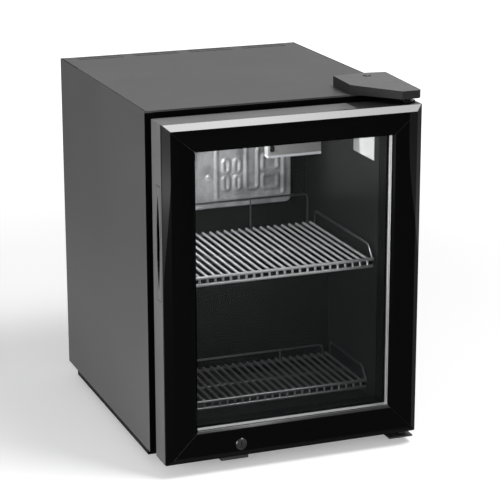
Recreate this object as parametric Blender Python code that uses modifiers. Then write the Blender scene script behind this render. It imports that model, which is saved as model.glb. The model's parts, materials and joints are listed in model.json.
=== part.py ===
"""Counter-top bar fridge with a double-glazed door, as an assembly of its separate pieces.

Metres, +Z up. The origin is on the floor, under the middle of the overall width and depth.
+X is to the right as seen from the front, and the door faces -Y.
"""

import math

import bmesh
import bpy
from mathutils import Matrix, Vector

# Clearances
SEAT = 0.0003
RUNNING = 0.0001

# Cabinet
CABINET_WIDTH = 0.380
CABINET_DEPTH = 0.410
CABINET_HEIGHT = 0.483
FOOT_CLEARANCE = 0.012
TRAY_HEIGHT = 0.0077
SHEET = 0.0008
PANEL_RETURN = 0.012
TOP_SEAM = 0.0017
TOP_FOLD = 0.010

# Storage space inside the liner
SIDE_INSULATION = 0.035
FLOOR_INSULATION = 0.028
CEILING_INSULATION = 0.045
MACHINE_DEPTH = 0.135
STEP_DEPTH = 0.095
STEP_HEIGHT = 0.177
LINER_WALL = 0.002
LINER_LIP = 0.010
STEP_INSULATION = 0.030
REAR_INSULATION = 0.048
FRONT_FRAME_DEPTH = 0.005

# Door
DOOR_GAP = 0.015
DOOR_REAR_DEPTH = 0.0375
DOOR_FRAME_DEPTH = 0.011
DOOR_LEFT_INSET = 0.0045
DOOR_RIGHT_INSET = 0.0005
DOOR_TOP_DROP = 0.0075
DOOR_BOTTOM_DROP = 0.0005
STILE_WIDTH = 0.045
TOP_RAIL_WIDTH = 0.0395
BOTTOM_RAIL_WIDTH = 0.0465
FRAME_LIP = 0.0065
CHAMFER_SHARE = 0.225
GLASS_THICKNESS = 0.004
GLASS_LAP = 0.012
SPACER_DEPTH = 0.012
SPACER_WIDTH = 0.0075
REAR_LAP = 0.010
GASKET_WIDTH = 0.018
GASKET_INSET = 0.0155

# Hinge, handle and lock
PIVOT_FROM_SIDE = 0.0115
PIVOT_FROM_DOOR_REAR = 0.020
PIN_RADIUS = 0.004
BUSH_RADIUS = 0.007
BUSH_FLANGE = 0.010
BUSH_DEPTH = 0.015
HINGE_BLOCK_LENGTH = 0.095
HINGE_BLOCK_HEIGHT = 0.006
HINGE_PLATE = 0.0025
HINGE_PLATE_WIDTH = 0.038
COVER_HEIGHT = 0.0152
COVER_WALL = 0.002
HANDLE_HEIGHT = 0.160
HANDLE_ABOVE_MIDDLE = 0.0735
HANDLE_DEPTH = 0.014
HANDLE_OPENING = 0.0175
LOCK_FROM_SIDE = 0.1075
LOCK_FROM_BOTTOM = 0.0205
LOCK_RADIUS = 0.0085
LOCK_CORE_RADIUS = 0.0055
LOCK_PROUD = 0.0015
CAM_LENGTH = 0.024
CAM_THICKNESS = 0.003

# Inside fittings
SHELF_SIDE_GAP = 0.005
SHELF_WIRE_RADIUS = 0.0018
SHELF_RAIL_RADIUS = 0.0022
SHELF_WIRES = 26
SHELF_DROP = 0.010
UPPER_SHELF_Z = 0.2600
UPPER_SHELF_FRONT = 0.016
UPPER_SHELF_REAR = 0.228
UPPER_FENCE = 0.046
LOWER_SHELF_Z = 0.0715
LOWER_SHELF_FRONT = 0.033
LOWER_SHELF_REAR = 0.165
LOWER_FENCE = 0.014
SIDE_GUARD = 0.018
LEDGE_WIDTH = 0.008
LEDGE_HEIGHT = 0.006
EVAPORATOR_SIDE_GAP = 0.0295
EVAPORATOR_TOP_GAP = 0.012
EVAPORATOR_HEIGHT = 0.159
EVAPORATOR_SHEET = 0.0016
EVAPORATOR_STANDOFF = 0.011
LAMP_LEFT = 0.0095
LAMP_WIDTH = 0.0805
LAMP_FRONT = 0.060
LAMP_DEPTH = 0.014
LAMP_DROP = 0.0460
DIFFUSER = 0.0032

# Machine space
LABEL_WIDTH = 0.071
LABEL_HEIGHT = 0.052
LABEL_FROM_FLANGE = 0.021
LABEL_TOP_GAP = 0.0045
COMPRESSOR_RADIUS = 0.056
COMPRESSOR_HEIGHT = 0.126
COMPRESSOR_X = -0.045
COMPRESSOR_FROM_FLANGE = 0.295
GROMMET_HEIGHT = 0.0114
CONDENSER_TUBE = 0.0024
CONDENSER_WIRE = 0.0009
CONDENSER_FROM_FLANGE = 0.375
CONDENSER_PITCH = 0.026
CONDENSER_RUNS = 9
CONDENSER_TOP_GAP = 0.029
CONDENSER_SIDE_GAP = 0.050
PIPE_TOP_GAP = 0.053
TRAY_SET_BACK = 0.011
TRAY_REAR_GAP = 0.045
FOOT_FROM_SIDE = 0.055
FRONT_FOOT_FROM_FLANGE = 0.045
REAR_FOOT_FROM_REAR = 0.080
REAR_COVER_INSET = 0.014
BAY_WALL = 0.0008

# Places worked out from the sizes above
HALF_WIDTH = CABINET_WIDTH / 2
DOOR_STACK = DOOR_GAP + DOOR_REAR_DEPTH + SEAT + DOOR_FRAME_DEPTH
FLANGE_Y = (DOOR_STACK + LOCK_PROUD - CABINET_DEPTH) / 2
REAR_Y = FLANGE_Y + CABINET_DEPTH
PANEL_BOTTOM = FOOT_CLEARANCE + TRAY_HEIGHT + SEAT
CABINET_TOP = PANEL_BOTTOM + CABINET_HEIGHT
TRAY_TOP = FOOT_CLEARANCE + TRAY_HEIGHT
CAVITY_WIDTH = CABINET_WIDTH - 2 * SIDE_INSULATION
CAVITY_HEIGHT = CABINET_HEIGHT - FLOOR_INSULATION - CEILING_INSULATION
CAVITY_DEPTH = CABINET_DEPTH - MACHINE_DEPTH
CAVITY_HALF = CAVITY_WIDTH / 2
SHELF_HALF_WIDTH = CAVITY_HALF - SHELF_SIDE_GAP
CAVITY_FLOOR = PANEL_BOTTOM + FLOOR_INSULATION
CAVITY_CEILING = CAVITY_FLOOR + CAVITY_HEIGHT
CAVITY_REAR = FLANGE_Y + CAVITY_DEPTH
STEP_Y = CAVITY_REAR - STEP_DEPTH
STEP_TOP = CAVITY_FLOOR + STEP_HEIGHT
LINER_FRONT = FLANGE_Y + FRONT_FRAME_DEPTH + SEAT
FOAM_FRONT = LINER_FRONT + LINER_WALL + SEAT
FOAM_REAR = CAVITY_REAR + LINER_WALL + REAR_INSULATION
BAY_FRONT = STEP_Y + LINER_WALL + STEP_INSULATION
BAY_CEILING = STEP_TOP - LINER_WALL - STEP_INSULATION
DOOR_REAR_Y = FLANGE_Y - DOOR_GAP
DOOR_MID_Y = DOOR_REAR_Y - DOOR_REAR_DEPTH
FRAME_BACK_Y = DOOR_MID_Y - SEAT
DOOR_FRONT_Y = FRAME_BACK_Y - DOOR_FRAME_DEPTH
DOOR_LEFT = DOOR_LEFT_INSET - HALF_WIDTH
DOOR_RIGHT = HALF_WIDTH - DOOR_RIGHT_INSET
DOOR_WIDTH = DOOR_RIGHT - DOOR_LEFT
DOOR_BOTTOM = PANEL_BOTTOM - DOOR_BOTTOM_DROP
DOOR_TOP = CABINET_TOP - DOOR_TOP_DROP
DOOR_HEIGHT = DOOR_TOP - DOOR_BOTTOM
LOCK_X = DOOR_LEFT + LOCK_FROM_SIDE
LOCK_Z = DOOR_BOTTOM + LOCK_FROM_BOTTOM
HANDLE_CENTRE_Z = (DOOR_BOTTOM + DOOR_TOP) / 2 + HANDLE_ABOVE_MIDDLE
GLASS_OPENING = (
    (DOOR_LEFT + STILE_WIDTH, DOOR_BOTTOM + BOTTOM_RAIL_WIDTH),
    (DOOR_RIGHT - STILE_WIDTH, DOOR_TOP - TOP_RAIL_WIDTH),
)
GLASS_FRONT_Y = DOOR_FRONT_Y + FRAME_LIP + SEAT
SPACER_Y = GLASS_FRONT_Y + GLASS_THICKNESS + SEAT
INNER_GLASS_Y = SPACER_Y + SPACER_DEPTH + SEAT
PIVOT_X = DOOR_RIGHT - PIVOT_FROM_SIDE
PIVOT_Y = DOOR_REAR_Y - PIVOT_FROM_DOOR_REAR
EVAPORATOR_HALF = CAVITY_HALF - EVAPORATOR_SIDE_GAP
EVAPORATOR_TOP = CAVITY_CEILING - EVAPORATOR_TOP_GAP
EVAPORATOR_BOTTOM = EVAPORATOR_TOP - EVAPORATOR_HEIGHT
CONDENSER_Y = FLANGE_Y + CONDENSER_FROM_FLANGE
CONDENSER_HALF = HALF_WIDTH - CONDENSER_SIDE_GAP
PIPE_TOP = CAVITY_CEILING - PIPE_TOP_GAP
FRONT_FOOT_Y = FLANGE_Y + FRONT_FOOT_FROM_FLANGE
REAR_FOOT_Y = REAR_Y - REAR_FOOT_FROM_REAR
COVER_Y = REAR_Y - REAR_COVER_INSET
COMPRESSOR_Y = FLANGE_Y + COMPRESSOR_FROM_FLANGE

# Finish: colour, roughness, metallic and opacity
FINISHES = {
    "painted_steel": ((0.075, 0.075, 0.078), 0.5, 0.2, 1.0),
    "zinc_steel": ((0.45, 0.46, 0.47), 0.4, 0.9, 1.0),
    "gloss_black_frame": ((0.004, 0.004, 0.004), 0.12, 0.0, 1.0),
    "grey_plastic": ((0.11, 0.11, 0.115), 0.45, 0.0, 1.0),
    "black_plastic": ((0.012, 0.012, 0.013), 0.4, 0.0, 1.0),
    "hinge_plastic": ((0.10, 0.10, 0.10), 0.4, 0.0, 1.0),
    "liner_plastic": ((0.018, 0.018, 0.019), 0.45, 0.0, 1.0),
    "foam": ((0.75, 0.66, 0.42), 0.9, 0.0, 1.0),
    "rubber": ((0.01, 0.01, 0.01), 0.8, 0.0, 1.0),
    "chrome_wire": ((0.80, 0.81, 0.82), 0.15, 1.0, 1.0),
    "aluminium": ((0.72, 0.73, 0.74), 0.35, 0.9, 1.0),
    "glass": ((0.80, 0.86, 0.86), 0.03, 0.0, 0.2),
    "compressor_enamel": ((0.01, 0.01, 0.01), 0.35, 0.3, 1.0),
    "copper": ((0.60, 0.30, 0.18), 0.35, 1.0, 1.0),
    "white_plastic": ((0.85, 0.85, 0.84), 0.4, 0.0, 1.0),
    "lamp_diffuser": ((0.92, 0.95, 0.97), 0.4, 0.0, 1.0),
    "lock_metal": ((0.30, 0.30, 0.31), 0.25, 1.0, 1.0),
}


def new_collection(name):
    collection = bpy.data.collections.new(name)
    bpy.context.scene.collection.children.link(collection)
    return collection


def new_finish(name):
    colour, roughness, metallic, alpha = FINISHES[name]
    made = bpy.data.materials.new(name)
    made.use_nodes = True
    shader = made.node_tree.nodes["Principled BSDF"]
    shader.inputs["Base Color"].default_value = (*colour, 1)
    shader.inputs["Roughness"].default_value = roughness
    shader.inputs["Metallic"].default_value = metallic
    shader.inputs["Alpha"].default_value = alpha
    made.diffuse_color = (*colour, alpha)
    return made


for old in list(bpy.data.objects):
    bpy.data.objects.remove(old)
PARTS = new_collection("bar_fridge")
CUTTERS = new_collection("cutters")
MATERIALS = {name: new_finish(name) for name in FINISHES}

# Axes of a flat outline: the frame that turns its plane and thickness into place
ALONG = {
    "X": Matrix(((0, 0, 1, 0), (1, 0, 0, 0), (0, 1, 0, 0), (0, 0, 0, 1))),
    "Y": Matrix(((1, 0, 0, 0), (0, 0, -1, 0), (0, 1, 0, 0), (0, 0, 0, 1))),
    "Z": Matrix.Identity(4),
}


def add(name, mesh, finish):
    """A named piece of the fridge with its finish."""
    made = bpy.data.objects.new(name, mesh)
    mesh.materials.append(MATERIALS[finish])
    PARTS.objects.link(made)
    return made


def helper(piece):
    """Turns a piece into a cutter, or into one half of a union."""
    PARTS.objects.unlink(piece)
    CUTTERS.objects.link(piece)
    piece.hide_render = True
    piece.display_type = "WIRE"
    return piece


def boolean(piece, other, operation):
    step = piece.modifiers.new(operation.lower(), "BOOLEAN")
    step.operation = operation
    step.object = helper(other)
    step.solver = "EXACT"
    return piece


def cut(piece, other):
    return boolean(piece, other, "DIFFERENCE")


def union(piece, other):
    return boolean(piece, other, "UNION")


def mesh_from(curve_object):
    """The mesh of a curve, with its caps welded on. The curve is removed."""
    bpy.context.scene.collection.objects.link(curve_object)
    bpy.context.view_layer.update()
    evaluated = curve_object.evaluated_get(bpy.context.evaluated_depsgraph_get())
    mesh = bpy.data.meshes.new_from_object(evaluated)
    work = bmesh.new()
    work.from_mesh(mesh)
    bmesh.ops.remove_doubles(work, verts=work.verts, dist=0.00001)
    bmesh.ops.recalc_face_normals(work, faces=work.faces)
    work.to_mesh(mesh)
    work.free()
    mesh.materials.clear()
    bpy.data.objects.remove(curve_object)
    return mesh


def one_mesh(meshes):
    """Several separate solids in one mesh, so that one Boolean takes them all."""
    work = bmesh.new()
    for mesh in meshes:
        work.from_mesh(mesh)
    made = bpy.data.meshes.new("group")
    work.to_mesh(made)
    work.free()
    return made


def box_mesh(low, high):
    centre = (Vector(low) + Vector(high)) / 2
    work = bmesh.new()
    bmesh.ops.create_cube(work, size=1)
    bmesh.ops.scale(work, vec=Vector(high) - Vector(low), verts=work.verts)
    bmesh.ops.translate(work, vec=centre, verts=work.verts)
    mesh = bpy.data.meshes.new("box")
    work.to_mesh(mesh)
    work.free()
    return mesh


def box(name, low, high, finish):
    """A block between two corners, with its origin at its centre."""
    centre = (Vector(low) + Vector(high)) / 2
    mesh = box_mesh(low, high)
    mesh.transform(Matrix.Translation(-centre))
    made = add(name, mesh, finish)
    made.location = centre
    return made


def cylinder_mesh(centre, radius, low, high, axis, sides=24):
    """A round bar along one axis; centre gives its two other coordinates, in X, Y, Z order."""
    work = bmesh.new()
    bmesh.ops.create_cone(
        work, cap_ends=True, segments=sides, radius1=radius, radius2=radius, depth=high - low
    )
    place = list(centre)
    place.insert("XYZ".index(axis), (low + high) / 2)
    work.transform(Matrix.Translation(place) @ ALONG[axis])
    mesh = bpy.data.meshes.new("bar")
    work.to_mesh(mesh)
    work.free()
    return mesh


def shade_round(mesh):
    mesh.shade_smooth()
    mesh.set_sharp_from_angle(angle=math.radians(35))
    return mesh


def cylinder(name, centre, radius, low, high, axis, finish, sides=24):
    return add(name, shade_round(cylinder_mesh(centre, radius, low, high, axis, sides)), finish)


def outline_mesh(outlines, low, high, axis):
    """A flat outline, with its holes, drawn across an axis and made solid from low to high on it."""
    curve = bpy.data.curves.new("outline", "CURVE")
    curve.dimensions = "2D"
    curve.fill_mode = "BOTH"
    curve.extrude = (high - low) / 2
    for points in outlines:
        spline = curve.splines.new("POLY")
        spline.points.add(len(points) - 1)
        for point, (u, v) in zip(spline.points, points):
            point.co = (u, v, 0, 1)
        spline.use_cyclic_u = True
    middle = (low + high) / 2
    mesh = mesh_from(bpy.data.objects.new("outline", curve))
    shift = {"X": (middle, 0, 0), "Y": (0, middle, 0), "Z": (0, 0, middle)}[axis]
    mesh.transform(Matrix.Translation(shift) @ ALONG[axis])
    return mesh


def slab(name, outlines, low, high, axis, finish):
    return add(name, outline_mesh(outlines, low, high, axis), finish)


def rectangle(low, high):
    return [low, (high[0], low[1]), high, (low[0], high[1])]


def grown(corners, by):
    """A rectangle's two corners, moved outwards."""
    (left, bottom), (right, top) = corners
    return (left - by, bottom - by), (right + by, top + by)


def rounded(points, radius, steps=3, closed=True):
    """A path whose corners are arcs."""
    made = []
    count = len(points)
    for i, here in enumerate(points):
        if not closed and i in (0, count - 1):
            made.append(Vector(here))
            continue
        here = Vector(here)
        before = (Vector(points[i - 1]) - here).normalized()
        after = (Vector(points[(i + 1) % count]) - here).normalized()
        half = before.angle(after) / 2
        reach = radius / math.tan(half)
        middle = here + (before + after).normalized() * (radius / math.sin(half))
        start = here + before * reach - middle
        end = here + after * reach - middle
        for k in range(steps + 1):
            made.append(middle + start.lerp(end, k / steps).normalized() * radius)
    return made


def wire_mesh(points, radius, sides=8, closed=False):
    """A round wire through the points, with flat closed ends or as a ring."""
    curve = bpy.data.curves.new("wire", "CURVE")
    curve.dimensions = "3D"
    curve.bevel_depth = radius
    curve.bevel_resolution = (sides - 4) // 2
    curve.use_fill_caps = True
    spline = curve.splines.new("POLY")
    spline.use_cyclic_u = closed
    spline.points.add(len(points) - 1)
    for point, place in zip(spline.points, points):
        point.co = (*place, 1)
    return mesh_from(bpy.data.objects.new("wire", curve))


def wire(name, points, radius, finish, sides=8):
    return add(name, shade_round(wire_mesh(points, radius, sides)), finish)


def turned(name, profile, place, finish, axis="Z", steps=24, closed=False):
    """A turned piece. The profile is (radius, height) and runs down the outer side."""
    work = bmesh.new()
    made = [work.verts.new((radius, 0, height)) for radius, height in profile]
    pairs = list(zip(made, made[1:] + made[:1]))
    for a, b in pairs if closed else pairs[:-1]:
        work.edges.new((a, b))
    mesh = bpy.data.meshes.new(name)
    work.to_mesh(mesh)
    work.free()
    piece = add(name, mesh, finish)
    piece.location = place
    piece.rotation_euler = {
        "Z": (0, 0, 0),
        "Y": (math.radians(-90), 0, 0),
        "-Y": (math.radians(90), 0, 0),
    }[axis]
    screw = piece.modifiers.new("turn", "SCREW")
    screw.steps = steps
    screw.render_steps = steps
    screw.use_merge_vertices = True
    screw.merge_threshold = 0.00001
    screw.use_smooth_shade = True
    return piece


def side_panels():
    """Folded steel sides: each wraps round the front and the rear edge of the cabinet."""
    for name, side in (("side_panel_left", -1), ("side_panel_right", 1)):
        outer = side * HALF_WIDTH
        inner = side * (HALF_WIDTH - SHEET)
        hem = side * (HALF_WIDTH - PANEL_RETURN)
        outline = [
            (hem, FLANGE_Y),
            (outer, FLANGE_Y),
            (outer, REAR_Y),
            (hem, REAR_Y),
            (hem, REAR_Y - SHEET),
            (inner, REAR_Y - SHEET),
            (inner, FLANGE_Y + SHEET),
            (hem, FLANGE_Y + SHEET),
        ]
        slab(name, [outline], PANEL_BOTTOM, CABINET_TOP, "Z", "painted_steel")


def top_panel():
    """The lid sheet, folded down at the front and the rear, with air slots at the rear."""
    front = FLANGE_Y + SHEET + SEAT
    rear = REAR_Y - SHEET - SEAT
    fold = CABINET_TOP - TOP_FOLD
    under = CABINET_TOP - SHEET
    outline = [
        (front, fold),
        (front, CABINET_TOP),
        (rear, CABINET_TOP),
        (rear, fold),
        (rear - SHEET, fold),
        (rear - SHEET, under),
        (front + SHEET, under),
        (front + SHEET, fold),
    ]
    half = HALF_WIDTH - SHEET - TOP_SEAM
    panel = slab("top_panel", [outline], -half, half, "X", "painted_steel")
    slot_length = 0.070
    slot_width = 0.0035
    gap = 0.018
    centres = [(slot_length + gap) * place for place in (-1.5, -0.5, 0.5, 1.5)]
    rows = (REAR_Y - 0.010, REAR_Y - 0.022)
    slots = [
        box_mesh(
            (x - slot_length / 2, y - slot_width / 2, under - SHEET),
            (x + slot_length / 2, y + slot_width / 2, CABINET_TOP + SHEET),
        )
        for x in centres
        for y in rows
    ]
    cut(panel, add("top_slots", one_mesh(slots), "painted_steel"))


def cavity_outline(grow, front):
    """The side view of the storage space with its step for the compressor, grown outwards."""
    return [
        (front, CAVITY_FLOOR - grow),
        (STEP_Y + grow, CAVITY_FLOOR - grow),
        (STEP_Y + grow, STEP_TOP - grow),
        (CAVITY_REAR + grow, STEP_TOP - grow),
        (CAVITY_REAR + grow, CAVITY_CEILING + grow),
        (front, CAVITY_CEILING + grow),
    ]


def shelf_ledge_top(shelf_z):
    """The shelves stand on the ends of their cross rails."""
    return shelf_z - shelf_rail_offset() - SHELF_RAIL_RADIUS - SEAT


def shelf_rail_offset():
    """How far the cross rails' middle lies under the wires' middle, so that they bite."""
    return SHELF_WIRE_RADIUS + SHELF_RAIL_RADIUS - 0.0012


def boss_places():
    return [(-0.007, EVAPORATOR_BOTTOM + z) for z in (0.0485, 0.1290)]


def liner_and_foam():
    """The vacuum-formed tub, the foam round it and the trim frame on the cabinet's front."""
    outer = grown(((-HALF_WIDTH + PANEL_RETURN, PANEL_BOTTOM), (HALF_WIDTH - PANEL_RETURN, 0)), -SEAT)
    outer = (outer[0], (outer[1][0], CABINET_TOP - TOP_FOLD - SEAT))
    inner = ((-CAVITY_HALF, CAVITY_FLOOR), (CAVITY_HALF, CAVITY_CEILING))
    slab(
        "front_frame",
        [rectangle(*outer), rectangle(*inner)],
        FLANGE_Y,
        FLANGE_Y + FRONT_FRAME_DEPTH,
        "Y",
        "painted_steel",
    )
    half = CAVITY_HALF + LINER_WALL
    liner = slab(
        "inner_liner", [cavity_outline(LINER_WALL, LINER_FRONT)], -half, half, "X", "liner_plastic"
    )
    lip = grown(inner, LINER_WALL + LINER_LIP)
    lip_mesh = box_mesh(
        (lip[0][0], LINER_FRONT, lip[0][1]), (lip[1][0], LINER_FRONT + LINER_WALL, lip[1][1])
    )
    union(liner, add("liner_lip", lip_mesh, "liner_plastic"))
    space = outline_mesh([cavity_outline(0, LINER_FRONT - 0.01)], -CAVITY_HALF, CAVITY_HALF, "X")
    cut(liner, add("liner_space", space, "liner_plastic"))
    bite = LINER_WALL / 2
    ledges = []
    for shelf_z, front, rear in (
        (UPPER_SHELF_Z, UPPER_SHELF_FRONT, UPPER_SHELF_REAR),
        (LOWER_SHELF_Z, LOWER_SHELF_FRONT, LOWER_SHELF_REAR),
    ):
        top = shelf_ledge_top(shelf_z)
        for side in (-1, 1):
            walls = sorted((side * (CAVITY_HALF + bite), side * (CAVITY_HALF - LEDGE_WIDTH)))
            ledges.append(
                box_mesh(
                    (walls[0], FLANGE_Y + front + 0.008, top - LEDGE_HEIGHT),
                    (walls[1], FLANGE_Y + rear + 0.006, top),
                )
            )
    union(liner, add("liner_ledges", one_mesh(ledges), "liner_plastic"))
    face = CAVITY_REAR - EVAPORATOR_STANDOFF
    bosses = [
        cylinder_mesh((x, z), 0.006, face, CAVITY_REAR + bite, "Y", 16) for x, z in boss_places()
    ]
    union(liner, add("liner_bosses", one_mesh(bosses), "liner_plastic"))
    top = CABINET_TOP - SHEET - SEAT
    foam_outline = [
        (FOAM_FRONT, PANEL_BOTTOM),
        (BAY_FRONT, PANEL_BOTTOM),
        (BAY_FRONT, BAY_CEILING),
        (FOAM_REAR, BAY_CEILING),
        (FOAM_REAR, top),
        (FOAM_FRONT, top),
    ]
    half = HALF_WIDTH - SHEET - SEAT
    foam = slab("insulation_foam", [foam_outline], -half, half, "X", "foam")
    grow = LINER_WALL + SEAT
    half = CAVITY_HALF + grow
    hollow = outline_mesh([cavity_outline(grow, FOAM_FRONT - 0.01)], -half, half, "X")
    cut(foam, add("foam_hollow", hollow, "foam"))


def rear_sheets():
    """The sheets behind the foam, and the slotted cover that closes the machine space."""
    half = HALF_WIDTH - SHEET - SEAT
    top = CABINET_TOP - SHEET - SEAT
    y = FOAM_REAR + SEAT
    box("back_panel", (-half, y, BAY_CEILING), (half, y + SHEET, top), "zinc_steel")
    front = BAY_FRONT + SEAT
    ceiling = BAY_CEILING - SEAT
    outline = [
        (front, PANEL_BOTTOM),
        (front + BAY_WALL, PANEL_BOTTOM),
        (front + BAY_WALL, ceiling - BAY_WALL),
        (FOAM_REAR, ceiling - BAY_WALL),
        (FOAM_REAR, ceiling),
        (front, ceiling),
    ]
    slab("compressor_bay_panel", [outline], -half, half, "X", "zinc_steel")
    low = PANEL_BOTTOM + 0.004
    cover = box(
        "rear_cover", (-half, COVER_Y - SHEET, low), (half, COVER_Y, top - 0.003), "painted_steel"
    )
    slot_length = 0.120
    slot_height = 0.004
    holes = [
        box_mesh(
            (x - slot_length / 2, COVER_Y - 2 * SHEET, z - slot_height / 2),
            (x + slot_length / 2, COVER_Y + SHEET, z + slot_height / 2),
        )
        for x in (-HALF_WIDTH * 0.45, HALF_WIDTH * 0.45)
        for z in [0.180 + row * (CABINET_TOP - 0.035 - 0.180) / 8 for row in range(9)]
    ]
    knob_x, knob_z = knob_place()
    gland_x, gland_z = gland_place()
    for x, z, radius in ((knob_x, knob_z, 0.0045), (gland_x, gland_z, 0.0065)):
        holes.append(cylinder_mesh((x, z), radius, COVER_Y - 0.01, COVER_Y + 0.01, "Y"))
    cut(cover, add("cover_holes", one_mesh(holes), "painted_steel"))


def foot_places():
    return [
        (f"foot_{row}_{side}", x, y)
        for row, y in (("front", FRONT_FOOT_Y), ("rear", REAR_FOOT_Y))
        for side, x in (("left", FOOT_FROM_SIDE - HALF_WIDTH), ("right", HALF_WIDTH - FOOT_FROM_SIDE))
    ]


def base():
    """The pressed tray under the cabinet, set in from the sides, on four screw-in feet."""
    half = HALF_WIDTH - 0.001
    front = FLANGE_Y + TRAY_SET_BACK
    rear = REAR_Y - TRAY_REAR_GAP
    wall = 0.0012
    tray = box("base_tray", (-half, front, FOOT_CLEARANCE), (half, rear, TRAY_TOP), "black_plastic")
    under = box_mesh(
        (wall - half, front + wall, FOOT_CLEARANCE - 0.01),
        (half - wall, rear - wall, TRAY_TOP - wall),
    )
    cut(tray, add("tray_hollow", under, "black_plastic"))
    for name, x, y in foot_places():
        profile = [
            (0, TRAY_TOP - wall - SEAT),
            (0.0100, TRAY_TOP - wall - SEAT),
            (0.0100, 0.0088),
            (0.0150, 0.0088),
            (0.0160, 0.0070),
            (0.0150, 0),
            (0, 0),
        ]
        turned(name, profile, (x, y, 0), "rubber", steps=20)


def machine():
    """Compressor, its mounts and starter, the condenser and the pipes behind the cabinet."""
    floor = TRAY_TOP + SEAT
    plate_z = floor + GROMMET_HEIGHT + SEAT
    plate = 0.003
    body_z = plate_z + plate - 0.001
    r = COMPRESSOR_RADIUS
    top = COMPRESSOR_HEIGHT
    profile = [
        (0, top),
        (r * 0.45, top - 0.002),
        (r * 0.75, top - 0.009),
        (r * 0.92, top - 0.022),
        (r * 0.97, top - 0.040),
        (r * 0.97, top - 0.058),
        (r, top - 0.060),
        (r, top - 0.066),
        (r * 0.97, top - 0.068),
        (r * 0.95, 0.028),
        (r * 0.84, 0.010),
        (r * 0.55, 0),
        (0, 0),
    ]
    compressor = turned(
        "compressor", profile, (COMPRESSOR_X, COMPRESSOR_Y, body_z), "compressor_enamel", steps=28
    )
    feet = box_mesh((-0.064, -0.050, plate_z - body_z), (0.064, 0.050, plate_z + plate - body_z))
    legs = add("compressor_legs", feet, "compressor_enamel")
    legs.location = (COMPRESSOR_X, COMPRESSOR_Y, body_z)
    union(compressor, legs)
    for i, (dx, dy) in enumerate(((-0.052, -0.038), (0.052, -0.038), (-0.052, 0.038), (0.052, 0.038))):
        ring = [
            (0.0080, GROMMET_HEIGHT),
            (0.0080, GROMMET_HEIGHT * 0.65),
            (0.0060, GROMMET_HEIGHT * 0.5),
            (0.0080, GROMMET_HEIGHT * 0.35),
            (0.0080, 0),
            (0.0035, 0),
            (0.0035, GROMMET_HEIGHT),
        ]
        place = (COMPRESSOR_X + dx, COMPRESSOR_Y + dy, floor)
        turned(f"compressor_grommet_{i + 1}", ring, place, "rubber", steps=14, closed=True)
    side = COMPRESSOR_X + r + SEAT
    box(
        "terminal_box",
        (side, COMPRESSOR_Y - 0.024, body_z + 0.040),
        (side + 0.026, COMPRESSOR_Y + 0.024, body_z + 0.092),
        "black_plastic",
    )
    condenser()
    pipes(body_z)


def condenser_rows():
    """Heights of the condenser's runs, from the top down."""
    top = CABINET_TOP - CONDENSER_TOP_GAP
    return [top - CONDENSER_PITCH * row for row in range(CONDENSER_RUNS)]


def condenser():
    """One snaking tube, with a ladder of wires on its rear that hangs between the side panels."""
    reach = CONDENSER_HALF
    points = []
    for row, z in enumerate(condenser_rows()):
        side = -1 if row % 2 == 0 else 1
        points += [(side * reach, CONDENSER_Y, z), (-side * reach, CONDENSER_Y, z)]
    points.append((points[-1][0], CONDENSER_Y, points[-1][2] - 0.020))
    path = rounded(points, 0.0125, 3, closed=False)
    wire("condenser_tube", path, CONDENSER_TUBE, "compressor_enamel", 8)
    y = CONDENSER_Y + CONDENSER_TUBE + SEAT + CONDENSER_WIRE
    low = condenser_rows()[-1] - 0.012
    high = condenser_rows()[0] + 0.012
    spread = 0.9 * reach
    bars = [
        wire_mesh([(x, y, low), (x, y, high)], CONDENSER_WIRE, 6)
        for x in [spread * (i / 6 - 1) for i in range(13)]
    ]
    grid = add("condenser_grid", one_mesh(bars), "compressor_enamel")
    half = HALF_WIDTH - SHEET - SEAT
    straps = [
        box_mesh((-half, y - 0.0005, z - 0.005), (half, y + 0.0011, z + 0.005))
        for z in (low + 0.007, high - 0.007)
    ]
    union(grid, add("condenser_straps", one_mesh(straps), "compressor_enamel"))


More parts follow.
